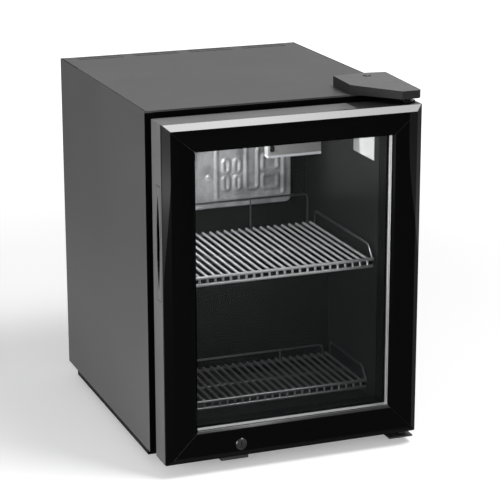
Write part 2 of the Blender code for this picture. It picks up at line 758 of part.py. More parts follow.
def pipes(body_z):
    """Suction, discharge and capillary lines, and the filter drier at the condenser's foot."""
    panel = FOAM_REAR + SEAT + SHEET + SEAT
    lane = panel + 0.016
    start = COMPRESSOR_X - COMPRESSOR_RADIUS - SEAT
    height = body_z + COMPRESSOR_HEIGHT - 0.063
    suction = [
        (start, COMPRESSOR_Y, height),
        (start - 0.022, COMPRESSOR_Y, height),
        (start - 0.022, lane, height),
        (start - 0.022, lane, PIPE_TOP),
        (start - 0.022, panel, PIPE_TOP),
    ]
    wire("suction_tube", rounded(suction, 0.010, 3, closed=False), 0.0034, "copper", 8)
    lean = math.radians(60)
    away = Vector((math.cos(lean), math.sin(lean), 0))
    middle = Vector((COMPRESSOR_X, COMPRESSOR_Y, height))
    out = middle + away * (COMPRESSOR_RADIUS + 0.014)
    top = condenser_rows()[0]
    discharge = [
        tuple(middle + away * (COMPRESSOR_RADIUS + SEAT)),
        tuple(out),
        (out.x, out.y, top),
        (-CONDENSER_HALF - 0.018, out.y, top),
        (-CONDENSER_HALF - 0.018, CONDENSER_Y, top),
        (-CONDENSER_HALF - SEAT, CONDENSER_Y, top),
    ]
    wire("discharge_tube", rounded(discharge, 0.0065, 3, closed=False), CONDENSER_TUBE, "copper", 8)
    drier_x = CONDENSER_HALF
    drier_top = condenser_rows()[-1] - 0.020 - SEAT
    drier_bottom = drier_top - 0.090
    profile = [
        (0, drier_top),
        (0.0026, drier_top),
        (0.0026, drier_top - 0.010),
        (0.0090, drier_top - 0.020),
        (0.0090, drier_bottom + 0.020),
        (0.0026, drier_bottom + 0.010),
        (0.0026, drier_bottom),
        (0, drier_bottom),
    ]
    turned("filter_drier", profile, (drier_x, CONDENSER_Y, 0), "copper", steps=16)
    capillary = [
        (drier_x, CONDENSER_Y, drier_bottom - SEAT),
        (drier_x, CONDENSER_Y, drier_bottom - 0.014),
        (drier_x + 0.020, CONDENSER_Y, drier_bottom - 0.014),
        (drier_x + 0.020, lane, drier_bottom - 0.014),
        (drier_x + 0.020, lane, PIPE_TOP),
        (drier_x + 0.020, panel, PIPE_TOP),
    ]
    wire("capillary_tube", rounded(capillary, 0.006, 3, closed=False), 0.0011, "copper", 6)


def knob_place():
    return HALF_WIDTH - 0.085, PANEL_BOTTOM + 0.065


def gland_place():
    return 0.040 - HALF_WIDTH, PANEL_BOTTOM + 0.042


def rear_controls():
    """The thermostat with its knob in the rear cover, and the gland of the mains lead."""
    x, z = knob_place()
    inside = COVER_Y - SHEET - SEAT
    box(
        "thermostat_body",
        (x - 0.020, inside - 0.028, z - 0.016),
        (x + 0.020, inside, z + 0.016),
        "zinc_steel",
    )
    outside = COVER_Y + SEAT
    knob = cylinder("thermostat_knob", (x, z), 0.0135, outside, outside + 0.0055, "Y", "black_plastic")
    grip = box_mesh((x - 0.0028, outside + 0.004, z - 0.0130), (x + 0.0028, REAR_Y - 0.002, z + 0.0130))
    union(knob, add("knob_grip", grip, "black_plastic"))
    shaft = cylinder_mesh((x, z), 0.003, inside + SEAT, outside + 0.001, "Y", 16)
    union(knob, add("knob_shaft", shaft, "black_plastic"))
    gland_x, gland_z = gland_place()
    ring = [
        (0.0062, 0.010),
        (0.0062, -SEAT),
        (0.0095, -SEAT),
        (0.0095, -0.0040),
        (0.0036, -0.0040),
        (0.0036, 0.010),
    ]
    middle = (gland_x, inside, gland_z)
    turned("mains_gland", ring, middle, "rubber", axis="Y", steps=20, closed=True)


def shelf(name, z, front, rear, fence, legs):
    """A chrome wire shelf: wires on cross rails, a turned-down front, side guards and a fence."""
    front += FLANGE_Y
    rear += FLANGE_Y
    half = SHELF_HALF_WIDTH
    outermost = half - 0.007
    pitch = 2 * outermost / (SHELF_WIRES - 1)
    single = wire_mesh(
        [(0, rear, z), (0, front, z), (0, front - 0.0015, z - SHELF_DROP)], SHELF_WIRE_RADIUS, 4
    )
    wires = []
    for i in range(SHELF_WIRES):
        copy = single.copy()
        copy.transform(Matrix.Translation((-outermost + pitch * i, 0, 0)))
        wires.append(copy)
    piece = add(name, one_mesh(wires), "chrome_wire")
    under = z - shelf_rail_offset()
    middle = front + 0.45 * (rear - front)
    back = rear - 0.003
    nose = front - SHELF_RAIL_RADIUS - SHELF_WIRE_RADIUS + 0.0010
    reach = half + 0.0009
    rails = [
        wire_mesh([(-reach, y, height), (reach, y, height)], SHELF_RAIL_RADIUS, 6)
        for y, height in (
            (back, under),
            (middle, under),
            (nose, z),
            (front - 0.0015, z - SHELF_DROP - 0.0006),
        )
    ]
    union(piece, add(name + "_rails", one_mesh(rails), "chrome_wire"))
    guards = []
    for side in (-1, 1):
        x = side * half
        ring = [
            (x, nose, z),
            (x, front + 0.012, z + SIDE_GUARD),
            (x, back, z + SIDE_GUARD),
            (x, back, under),
        ]
        guards.append(wire_mesh(rounded(ring, 0.006, 2, closed=False), SHELF_WIRE_RADIUS, 6))
    union(piece, add(name + "_guards", one_mesh(guards), "chrome_wire"))
    end = outermost - 0.5 * pitch
    across = [(-end, back, under), (-end, back, z + fence), (end, back, z + fence), (end, back, under)]
    rail = wire_mesh(rounded(across, 0.006, 2, closed=False), 0.0015, 6)
    union(piece, add(name + "_fence", rail, "chrome_wire"))
    posts = [
        wire_mesh([(x * pitch, back, under), (x * pitch, back, z + fence)], 0.0011, 6) for x in legs
    ]
    union(piece, add(name + "_posts", one_mesh(posts), "chrome_wire"))


def inside_fittings():
    """Evaporator, lamp, blank label plate and the two wire shelves."""
    shelf(
        "upper_shelf",
        UPPER_SHELF_Z,
        UPPER_SHELF_FRONT,
        UPPER_SHELF_REAR,
        UPPER_FENCE,
        (-4, 4),
    )
    shelf(
        "lower_shelf",
        LOWER_SHELF_Z,
        LOWER_SHELF_FRONT,
        LOWER_SHELF_REAR,
        LOWER_FENCE,
        (-6, 6),
    )
    evaporator()
    lamp()
    y = FLANGE_Y + LABEL_FROM_FLANGE
    top = CAVITY_CEILING - LABEL_TOP_GAP
    box(
        "wall_label",
        (CAVITY_HALF - SEAT - 0.0008, y, top - LABEL_HEIGHT),
        (CAVITY_HALF - SEAT, y + LABEL_WIDTH, top),
        "white_plastic",
    )


def channel_loops():
    """Closed channels of the cooling plate: middle x, width, height above the lowest run, height."""
    narrow = [(x, 0.0085, z, tall) for x in (0.021, 0.039) for z, tall in ((0.014, 0.020), (0.041, 0.019))]
    return narrow + [(0.092, 0.024, 0.012, 0.020), (0.092, 0.024, 0.041, 0.022)]


def flat_path(points, y, closed):
    """A path in the plane of the cooling plate, with round corners."""
    return rounded([(x, y, z) for x, z in points], 0.0042, 2, closed=closed)


def evaporator():
    """The roll-bond cooling plate on its two screws, with the blown channel on its face."""
    half = EVAPORATOR_HALF
    back = CAVITY_REAR - EVAPORATOR_STANDOFF - SEAT
    front = back - EVAPORATOR_SHEET
    corners = rectangle((-half, EVAPORATOR_BOTTOM), (half, EVAPORATOR_TOP))
    outline = [tuple(point) for point in rounded(corners, 0.009, 4)]
    plate = slab("evaporator_plate", [outline], front, back, "Y", "aluminium")
    low = EVAPORATOR_BOTTOM + 0.013
    top = EVAPORATOR_TOP - 0.012
    right = half - 0.012
    column = -half + 0.016
    run = [(column, low), (column, top), (column + 0.020, top), (column + 0.020, low + 0.018)]
    run += [(column + 0.040, low + 0.018), (column + 0.040, top), (column + 0.060, top)]
    run += [(column + 0.060, low + 0.018), (column + 0.080, low + 0.018), (column + 0.080, top)]
    run += [(0.0055, top), (0.0055, low), (right, low), (right, top), (0.053, top)]
    run += [(0.053, low + 0.013), (0.0715, low + 0.013), (0.0715, low + 0.0745), (0.096, low + 0.0745)]
    paths = [wire_mesh(flat_path(run, front, False), 0.0022, 6)]
    for x, wide, z, tall in channel_loops():
        ring = rectangle((x - wide / 2, low + z), (x + wide / 2, low + z + tall))
        paths.append(wire_mesh(flat_path(ring, front, True), 0.0022, 6, closed=True))
    channel = one_mesh(paths)
    union(plate, add("evaporator_channel", channel, "aluminium"))
    holes = [
        cylinder_mesh((x, z), 0.0028, front - 0.01, back + 0.01, "Y", 12) for x, z in boss_places()
    ]
    cut(plate, add("evaporator_holes", one_mesh(holes), "aluminium"))
    for i, (x, z) in enumerate(boss_places()):
        profile = [
            (0, 0.0022),
            (0.0024, 0.0020),
            (0.0040, 0.0010),
            (0.0052, 0.0008),
            (0.0052, 0),
            (0.0024, 0),
            (0.0024, -EVAPORATOR_SHEET - SEAT),
            (0, -EVAPORATOR_SHEET - SEAT),
        ]
        place = (x, front - SEAT, z)
        turned(f"evaporator_screw_{i + 1}", profile, place, "zinc_steel", axis="-Y", steps=16)


def lamp():
    """The ceiling lamp: a housing open below, its board, the diffuser tray and a rocker switch."""
    left = LAMP_LEFT
    right = LAMP_LEFT + LAMP_WIDTH
    front = FLANGE_Y + LAMP_FRONT
    rear = front + LAMP_DEPTH
    top = CAVITY_CEILING - SEAT
    rim = CAVITY_CEILING - LAMP_DROP
    wall = 0.002
    housing = box("lamp_housing", (left, front, rim), (right, rear, top), "white_plastic")
    hollow = box_mesh((left + wall, front + wall, rim - 0.01), (right - wall, rear - wall, top - wall))
    cut(housing, add("lamp_hollow", hollow, "white_plastic"))
    box(
        "lamp_diffuser",
        (left, front, rim - SEAT - DIFFUSER),
        (right, rear, rim - SEAT),
        "lamp_diffuser",
    )
    box(
        "lamp_board",
        (left + wall + 0.012, front + wall + 0.0015, top - wall - SEAT - 0.0016),
        (right - wall - 0.004, rear - wall - 0.0015, top - wall - SEAT),
        "white_plastic",
    )
    switch_x = left + 0.0065
    switch_z = rim + 0.0095
    wide = 0.0028
    tall = 0.0037
    window = box_mesh(
        (switch_x - wide - SEAT, front - 0.005, switch_z - tall - 0.0006),
        (switch_x + wide + SEAT, front + wall + 0.001, switch_z + tall + 0.0006),
    )
    cut(housing, add("switch_window", window, "white_plastic"))
    outline = [
        (front - 0.0010, switch_z + tall),
        (front - 0.0004, switch_z),
        (front - 0.0010, switch_z - tall),
        (front + 0.0034, switch_z - tall + 0.0008),
        (front + 0.0034, switch_z + tall - 0.0008),
    ]
    slab("lamp_rocker", [outline], switch_x - wide, switch_x + wide, "X", "black_plastic")


def frame_section(width):
    """Half of a mitred profile's section: (distance in from the door's edge, depth from its face)."""
    chamfer = CHAMFER_SHARE * width
    rebate = width - GLASS_LAP - 0.0005
    return [
        (0, DOOR_FRAME_DEPTH),
        (0, DOOR_FRAME_DEPTH - 0.0030),
        (chamfer, 0),
        (width - 0.0035, 0),
        (width, 0.0030),
        (width, FRAME_LIP),
        (rebate, FRAME_LIP),
        (rebate, DOOR_FRAME_DEPTH),
    ]


def mitred_profile(name, corner, along, inward, length, width, first, last):
    """A profile of the door's front frame, its two ends sheared to meet the neighbours."""
    section = frame_section(width)
    work = bmesh.new()
    ends = []
    for start, neighbour in ((True, first), (False, last)):
        ring = []
        for into, depth in section:
            skew = into * neighbour / width + SEAT / 2
            run = skew if start else length - skew
            place = Vector(corner) + Vector(along) * run + Vector(inward) * into
            ring.append(work.verts.new((place.x, DOOR_FRONT_Y + depth, place.y)))
        ends.append(ring)
    count = len(section)
    for i in range(count):
        j = (i + 1) % count
        work.faces.new((ends[0][i], ends[0][j], ends[1][j], ends[1][i]))
    work.faces.new(ends[0])
    work.faces.new(ends[1])
    bmesh.ops.recalc_face_normals(work, faces=work.faces)
    mesh = bpy.data.meshes.new(name)
    work.to_mesh(mesh)
    work.free()
    return add(name, mesh, "gloss_black_frame")


def door_front():
    """The four mitred profiles round the glass; the bottom one is bored for the lock."""
    side, top, bottom = STILE_WIDTH, TOP_RAIL_WIDTH, BOTTOM_RAIL_WIDTH
    across, up = (1, 0), (0, 1)
    left, down = (-1, 0), (0, -1)
    low_left = (DOOR_LEFT, DOOR_BOTTOM)
    mitred_profile("door_top_rail", (DOOR_LEFT, DOOR_TOP), across, down, DOOR_WIDTH, top, side, side)
    rail = mitred_profile("door_bottom_rail", low_left, across, up, DOOR_WIDTH, bottom, side, side)
    mitred_profile("door_left_stile", low_left, up, across, DOOR_HEIGHT, side, bottom, top)
    mitred_profile(
        "door_right_stile", (DOOR_RIGHT, DOOR_BOTTOM), up, left, DOOR_HEIGHT, side, bottom, top
    )
    bore = cylinder_mesh(
        (LOCK_X, LOCK_Z), LOCK_RADIUS + SEAT, DOOR_FRONT_Y - 0.01, FRAME_BACK_Y + 0.01, "Y", 28
    )
    cut(rail, add("rail_bore", bore, "gloss_black_frame"))


def glass_unit():
    """Two panes with the perforated spacer between them."""
    pane = grown(GLASS_OPENING, GLASS_LAP)
    for name, y in (("outer_glass", GLASS_FRONT_Y), ("inner_glass", INNER_GLASS_Y)):
        (left, bottom), (right, top) = pane
        box(name, (left, y, bottom), (right, y + GLASS_THICKNESS, top), "glass")
    outer = grown(pane, -0.001)
    inner = grown(outer, -SPACER_WIDTH)
    slab(
        "glass_spacer",
        [rectangle(*outer), rectangle(*inner)],
        SPACER_Y,
        SPACER_Y + SPACER_DEPTH,
        "Y",
        "aluminium",
    )


def handle_box(grow):
    """The pocket of the finger pull, in the left side of the door."""
    y = DOOR_MID_Y + 0.0040
    return (
        (DOOR_LEFT - 0.01, y - grow, HANDLE_CENTRE_Z - HANDLE_HEIGHT / 2 - grow),
        (
            DOOR_LEFT + HANDLE_DEPTH + grow,
            y + HANDLE_OPENING + grow,
            HANDLE_CENTRE_Z + HANDLE_HEIGHT / 2 + grow,
        ),
    )


def lock_end():
    """Where the lock's housing ends inside the door, and its cam starts."""
    return DOOR_MID_Y + 0.0135


def door_back():
    """The deep rear frame with its pockets, the magnetic gasket and the finger pull."""
    pane = grown(GLASS_OPENING, GLASS_LAP)
    opening = grown(pane, -REAR_LAP)
    outer = ((DOOR_LEFT, DOOR_BOTTOM), (DOOR_RIGHT, DOOR_TOP))
    frame = slab(
        "door_rear_frame",
        [rectangle(*outer), rectangle(*opening)],
        DOOR_MID_Y,
        DOOR_REAR_Y,
        "Y",
        "grey_plastic",
    )
    (left, bottom), (right, top) = grown(pane, 0.0005)
    pocket_rear = INNER_GLASS_Y + GLASS_THICKNESS + SEAT
    pockets = [box_mesh((left, DOOR_MID_Y - 0.01, bottom), (right, pocket_rear, top))]
    pockets.append(box_mesh(*handle_box(0)))
    for low, high in ((DOOR_TOP - BUSH_DEPTH, DOOR_TOP + 0.01), (DOOR_BOTTOM - 0.01, DOOR_BOTTOM + BUSH_DEPTH)):
        pockets.append(cylinder_mesh((PIVOT_X, PIVOT_Y), BUSH_RADIUS + SEAT, low, high, "Z"))
    cut(frame, add("door_pockets", one_mesh(pockets), "grey_plastic"))
    (left, front, bottom), (right, rear, top) = hinge_block(SEAT)
    ledge = box_mesh((left, front - 0.01, bottom), (right + 0.01, rear + 0.01, top + 0.01))
    cut(frame, add("block_ledge", ledge, "grey_plastic"))
    cam_y = lock_end() + SEAT
    bore = cylinder_mesh((LOCK_X, LOCK_Z), LOCK_RADIUS + SEAT, DOOR_MID_Y - 0.01, cam_y + 0.0005, "Y", 28)
    cut(frame, add("lock_bore", bore, "grey_plastic"))
    reach = CAM_LENGTH + 0.003
    slot = box_mesh(
        (LOCK_X - reach, cam_y - SEAT, DOOR_BOTTOM - 0.01),
        (LOCK_X + 0.010, cam_y + CAM_THICKNESS + 0.0015, LOCK_Z + 0.009),
    )
    cut(frame, add("cam_slot", slot, "grey_plastic"))
    handle()
    ring = ((-CAVITY_HALF, CAVITY_FLOOR), (CAVITY_HALF, CAVITY_CEILING))
    seal_inner = grown(ring, GASKET_INSET - 0.0140)
    seal_outer = grown(seal_inner, GASKET_WIDTH)
    slab(
        "door_gasket",
        [rectangle(*seal_outer), rectangle(*seal_inner)],
        DOOR_REAR_Y + SEAT,
        FLANGE_Y - SEAT,
        "Y",
        "rubber",
    )


def hinge_block(grow):
    """Where the moulded block lies that is let into the top of the door's rear frame."""
    low = (DOOR_RIGHT - HINGE_BLOCK_LENGTH - grow, DOOR_MID_Y, DOOR_TOP - HINGE_BLOCK_HEIGHT - grow)
    return low, (DOOR_RIGHT, DOOR_REAR_Y, DOOR_TOP)


def handle():
    """A moulded cup in the door's left side, with a finger slot."""
    low, high = handle_box(-SEAT)
    low = (DOOR_LEFT, low[1], low[2])
    cup = box("handle_insert", low, high, "grey_plastic")
    wall = 0.0025
    slot = box_mesh(
        (DOOR_LEFT - 0.01, low[1] + 0.0055, low[2] + 0.012),
        (high[0] - wall, high[1] - wall, high[2] - 0.012),
    )
    cut(cup, add("finger_slot", slot, "grey_plastic"))


def bush(name, z, upwards):
    """A flanged bush in the door, round the hinge pin."""
    bore = PIN_RADIUS + RUNNING
    flange = 0.0016
    profile = [
        (BUSH_FLANGE, SEAT + flange),
        (BUSH_FLANGE, SEAT),
        (BUSH_RADIUS, SEAT),
        (BUSH_RADIUS, SEAT - BUSH_DEPTH + 0.001),
        (bore, SEAT - BUSH_DEPTH + 0.001),
        (bore, SEAT + flange),
    ]
    if not upwards:
        profile = [(radius, -height) for radius, height in reversed(profile)]
    turned(name, profile, (PIVOT_X, PIVOT_Y, z), "white_plastic", steps=24, closed=True)


def cover_outline():
    """The hinge cover seen from above: its nose reaches out over the door to the pivot."""
    right = HALF_WIDTH - 0.0015
    left = HALF_WIDTH - 0.082
    return [
        (left, FLANGE_Y + 0.062),
        (left, FLANGE_Y + 0.002),
        (HALF_WIDTH - 0.030, FLANGE_Y - 0.056),
        (right - 0.004, FLANGE_Y - 0.056),
        (right, FLANGE_Y - 0.052),
        (right, FLANGE_Y + 0.062),
        (HALF_WIDTH - 0.032, FLANGE_Y + 0.066),
    ]


def inset(points, by):
    """A closed outline moved inwards, for an outline that runs anticlockwise."""
    made = []
    count = len(points)
    for i in range(count):
        here = Vector(points[i])
        before = (here - Vector(points[i - 1])).normalized()
        after = (Vector(points[(i + 1) % count]) - here).normalized()
        normal = (Vector((-before.y, before.x)) + Vector((-after.y, after.x))).normalized()
        made.append(here + normal * (by / normal.dot(Vector((-after.y, after.x)))))
    return made


def sloped(mesh, level, drop):
    """Lets the points above a level fall towards the front."""
    nose = FLANGE_Y - 0.056
    for vertex in mesh.vertices:
        if vertex.co.z > level:
            vertex.co.z -= drop * (FLANGE_Y + 0.066 - vertex.co.y) / (FLANGE_Y + 0.066 - nose)
    return mesh


def hinges():
    """Top plate with its pin under a plastic cover, and the bracket with its pin below."""
    plate_z = CABINET_TOP + SEAT
    right = HALF_WIDTH - 0.0035 - COVER_WALL
    left = right - HINGE_PLATE_WIDTH
    nose = PIVOT_Y - 0.011
    outline = [
        (left + 0.012, nose),
        (right, nose),
        (right, FLANGE_Y + 0.054),
        (left, FLANGE_Y + 0.054),
        (left, nose + 0.012),
    ]
    plate = slab(
        "top_hinge_plate", [outline], plate_z, plate_z + HINGE_PLATE, "Z", "zinc_steel"
    )
    reach = BUSH_DEPTH - 0.003
    pin = cylinder_mesh((PIVOT_X, PIVOT_Y), PIN_RADIUS, DOOR_TOP - reach, plate_z + 0.001, "Z")
    union(plate, add("top_pin", pin, "zinc_steel"))
    bush("top_hinge_bush", DOOR_TOP, True)
    block = box("door_hinge_block", *hinge_block(0), "black_plastic")
    bore = cylinder_mesh(
        (PIVOT_X, PIVOT_Y), BUSH_RADIUS + SEAT, DOOR_TOP - HINGE_BLOCK_HEIGHT - 0.01, DOOR_TOP + 0.01, "Z"
    )
    cut(block, add("block_bore", bore, "black_plastic"))

    top = plate_z + COVER_HEIGHT
    drop = 0.004
    outline = cover_outline()
    mesh = sloped(outline_mesh([outline], plate_z, top, "Z"), top - 0.001, drop)
    cover = add("hinge_cover", mesh, "hinge_plastic")
    inner_top = top - COVER_WALL
    hollow = outline_mesh([inset(outline, COVER_WALL)], plate_z - 0.01, inner_top, "Z")
    cut(cover, add("cover_hollow", sloped(hollow, inner_top - 0.001, drop), "hinge_plastic"))
    screw_x = HALF_WIDTH - 0.037
    screw_y = FLANGE_Y + 0.047
    surface = top - drop * (0.066 - 0.047) / (0.066 + 0.056)
    bore = cylinder_mesh((screw_x, screw_y), 0.0026, plate_z + HINGE_PLATE + 0.001, top + 0.01, "Z", 16)
    cut(cover, add("screw_bore", bore, "hinge_plastic"))
    recess = cylinder_mesh((screw_x, screw_y), 0.0060, surface - 0.0010, top + 0.01, "Z", 20)
    cut(cover, add("screw_recess", recess, "hinge_plastic"))
    floor = surface - 0.0010 + SEAT
    profile = [
        (0, floor + 0.0014),
        (0.0028, floor + 0.0012),
        (0.0046, floor + 0.0004),
        (0.0046, floor),
        (0.0022, floor),
        (0.0022, plate_z + HINGE_PLATE + SEAT),
        (0, plate_z + HINGE_PLATE + SEAT),
    ]
    turned("hinge_cover_screw", profile, (screw_x, screw_y, 0), "zinc_steel", steps=16)

    under = FOOT_CLEARANCE - SEAT
    bracket = box(
        "bottom_hinge_bracket",
        (HALF_WIDTH - 0.0015 - 0.0365, FLANGE_Y - 0.052, under - HINGE_PLATE),
        (HALF_WIDTH - 0.0015, FLANGE_Y + 0.050, under),
        "painted_steel",
    )
    pin = cylinder_mesh((PIVOT_X, PIVOT_Y), PIN_RADIUS, under - 0.001, DOOR_BOTTOM + reach, "Z")
    collar = cylinder_mesh((PIVOT_X, PIVOT_Y), 0.0075, under - 0.0012, DOOR_BOTTOM - 0.0025, "Z")
    union(bracket, add("bottom_collar", collar, "painted_steel"))
    union(bracket, add("bottom_pin", pin, "painted_steel"))
    bush("bottom_hinge_bush", DOOR_BOTTOM, False)


def lock():
    """A barrel lock in the bottom rail, whose cam swings down behind the strike's lip."""
    face = DOOR_FRONT_Y - LOCK_PROUD
    end = lock_end()
    length = end - face
    bore = LOCK_CORE_RADIUS + RUNNING
    ring = [
        (LOCK_RADIUS - 0.001, 0),
        (LOCK_RADIUS, -0.001),
        (LOCK_RADIUS, -length),
        (bore, -length),
        (bore, 0),
    ]
    turned("lock_housing", ring, (LOCK_X, face, LOCK_Z), "lock_metal", axis="-Y", steps=28, closed=True)
    core = cylinder("lock_core", (LOCK_X, LOCK_Z), LOCK_CORE_RADIUS, face + 0.0006, end, "Y", "lock_metal")
    keyway = box_mesh(
        (LOCK_X - 0.0006, face - 0.01, LOCK_Z - 0.0036), (LOCK_X + 0.0006, face + 0.008, LOCK_Z + 0.0036)
    )
    cut(core, add("keyway", keyway, "lock_metal"))
    low = end + SEAT
    cam = cylinder("lock_cam", (LOCK_X, LOCK_Z), 0.0065, low, low + CAM_THICKNESS, "Y", "zinc_steel")
    tongue = box_mesh(
        (LOCK_X - CAM_LENGTH, low, LOCK_Z - 0.0045), (LOCK_X, low + CAM_THICKNESS, LOCK_Z + 0.0045)
    )
    union(cam, add("cam_tongue", tongue, "zinc_steel"))
    under = FOOT_CLEARANCE - SEAT
    lip = low - 0.0022
    plate = 0.0020
    strike = box(
        "lock_strike",
        (LOCK_X - 0.022, lip - plate, under - plate),
        (LOCK_X + 0.018, FLANGE_Y + 0.030, under),
        "painted_steel",
    )
    upstand = box_mesh(
        (LOCK_X - 0.022, lip - plate, under - 0.001), (LOCK_X + 0.018, lip, DOOR_BOTTOM - 0.0010)
    )
    union(strike, add("strike_lip", upstand, "painted_steel"))


side_panels()
top_panel()
liner_and_foam()
rear_sheets()
base()
machine()
rear_controls()
inside_fittings()
door_back()
glass_unit()
door_front()
hinges()
lock()
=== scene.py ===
# %% [markdown]
# # A counter-top bar fridge with a glass door
#
# The solids of this fridge come ready made, in metres, and this lesson dresses them: it gives every
# piece its finish, builds the fine pieces that the solids only hint at, and lights the whole like a
# plain studio product picture. The first cell loads the solids. The dressed fridge must not grow
# out of that box.

# %% Load the solids
import json
import math

import bmesh
import bpy
import numpy
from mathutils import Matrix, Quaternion, Vector


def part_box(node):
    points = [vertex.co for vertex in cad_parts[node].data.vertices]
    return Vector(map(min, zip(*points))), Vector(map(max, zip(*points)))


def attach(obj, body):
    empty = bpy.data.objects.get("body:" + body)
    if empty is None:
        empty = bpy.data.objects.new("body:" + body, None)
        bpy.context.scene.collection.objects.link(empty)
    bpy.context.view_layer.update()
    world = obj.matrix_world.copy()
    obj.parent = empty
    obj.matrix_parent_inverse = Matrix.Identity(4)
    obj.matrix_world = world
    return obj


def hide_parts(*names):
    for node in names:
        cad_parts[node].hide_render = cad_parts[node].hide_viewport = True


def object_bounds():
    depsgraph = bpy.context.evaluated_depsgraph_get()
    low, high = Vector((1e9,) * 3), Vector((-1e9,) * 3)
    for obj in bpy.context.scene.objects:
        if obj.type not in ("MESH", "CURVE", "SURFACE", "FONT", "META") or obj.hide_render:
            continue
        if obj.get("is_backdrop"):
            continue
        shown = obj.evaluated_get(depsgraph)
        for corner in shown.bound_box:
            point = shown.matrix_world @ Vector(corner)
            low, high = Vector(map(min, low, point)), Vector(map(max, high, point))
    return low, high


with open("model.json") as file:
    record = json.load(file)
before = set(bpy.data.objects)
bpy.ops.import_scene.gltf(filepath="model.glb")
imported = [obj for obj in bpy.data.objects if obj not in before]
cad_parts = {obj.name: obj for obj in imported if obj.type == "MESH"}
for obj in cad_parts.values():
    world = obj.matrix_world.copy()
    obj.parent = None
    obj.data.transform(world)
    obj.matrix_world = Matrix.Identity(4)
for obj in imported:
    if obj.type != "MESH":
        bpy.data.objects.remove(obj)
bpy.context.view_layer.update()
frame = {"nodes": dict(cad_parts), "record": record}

# %% [markdown]
# ## The camera
#
# The picture was taken from the front left, from a little above, with a long lens. The place and the
# tilt below come from lining up the edges of the cabinet and the door with the same edges in the
# picture. The focal length follows from how fast those edges run together. The lens isn't shifted,
# so the same camera can walk round the fridge.

# %% Set up the camera
PICTURE_WIDTH = 500
FOCAL_PIXELS = 1951.1
SENSOR_WIDTH = 36.0
CAMERA_PLACE = (-0.9602, -2.5821, 1.0446)
CAMERA_TILT = (1.2886, 0.0016, -0.3650)

camera_data = bpy.data.cameras.new("camera")
camera_data.sensor_width = SENSOR_WIDTH
camera_data.lens = FOCAL_PIXELS * SENSOR_WIDTH / PICTURE_WIDTH
camera = bpy.data.objects.new("camera", camera_data)
camera.location = CAMERA_PLACE
camera.rotation_euler = CAMERA_TILT
bpy.context.scene.collection.objects.link(camera)
bpy.context.scene.camera = camera
bpy.context.scene.view_settings.view_transform = "Standard"
print("lens in mm:", round(camera_data.lens, 1))

# %% [markdown]
# ## Writing materials as sums
#
# A finish is a small calculation on the surface: where am I, how rough, how dark. Placing dozens of
# Math nodes by hand hides that. The class below wraps the output of a node, so that `1 - mask * 0.5`
# adds the nodes by itself. A second class holds one material and has a single method for every other
# kind of node.

# %% A value that can be calculated with
class Flow:
    """The output of a node. Adding, multiplying and so on make new Math nodes."""

    def __init__(self, finish, socket):
        self.finish = finish
        self.socket = socket

    def math(self, operation, *values):
        values = dict(enumerate(values))
        return self.finish.node("ShaderNodeMath", {"operation": operation}, values)

    def __add__(self, other):
        return self.math("ADD", self, other)

    def __sub__(self, other):
        return self.math("SUBTRACT", self, other)

    def __rsub__(self, other):
        return self.math("SUBTRACT", other, self)

    def __mul__(self, other):
        return self.math("MULTIPLY", self, other)

    def __pow__(self, other):
        return self.math("POWER", self, other)

    def __gt__(self, other):
        return self.math("GREATER_THAN", self, other)

    def __lt__(self, other):
        return self.math("LESS_THAN", self, other)

    def __mod__(self, other):
        return self.math("FLOORED_MODULO", self, other)

    def __abs__(self):
        return self.math("ABSOLUTE", self)

    __radd__ = __add__
    __rmul__ = __mul__

    def sine(self):
        return self.math("SINE", self)

    def largest(self, other):
        return self.math("MAXIMUM", self, other)

    def smallest(self, other):
        return self.math("MINIMUM", self, other)


# %% A finish, and the one method that places its nodes
FACING_OUTPUT = 1
PLACE_OUTPUT = 3
MIX_FIRST = 6
MIX_SECOND = 7
MIX_RESULT = 2


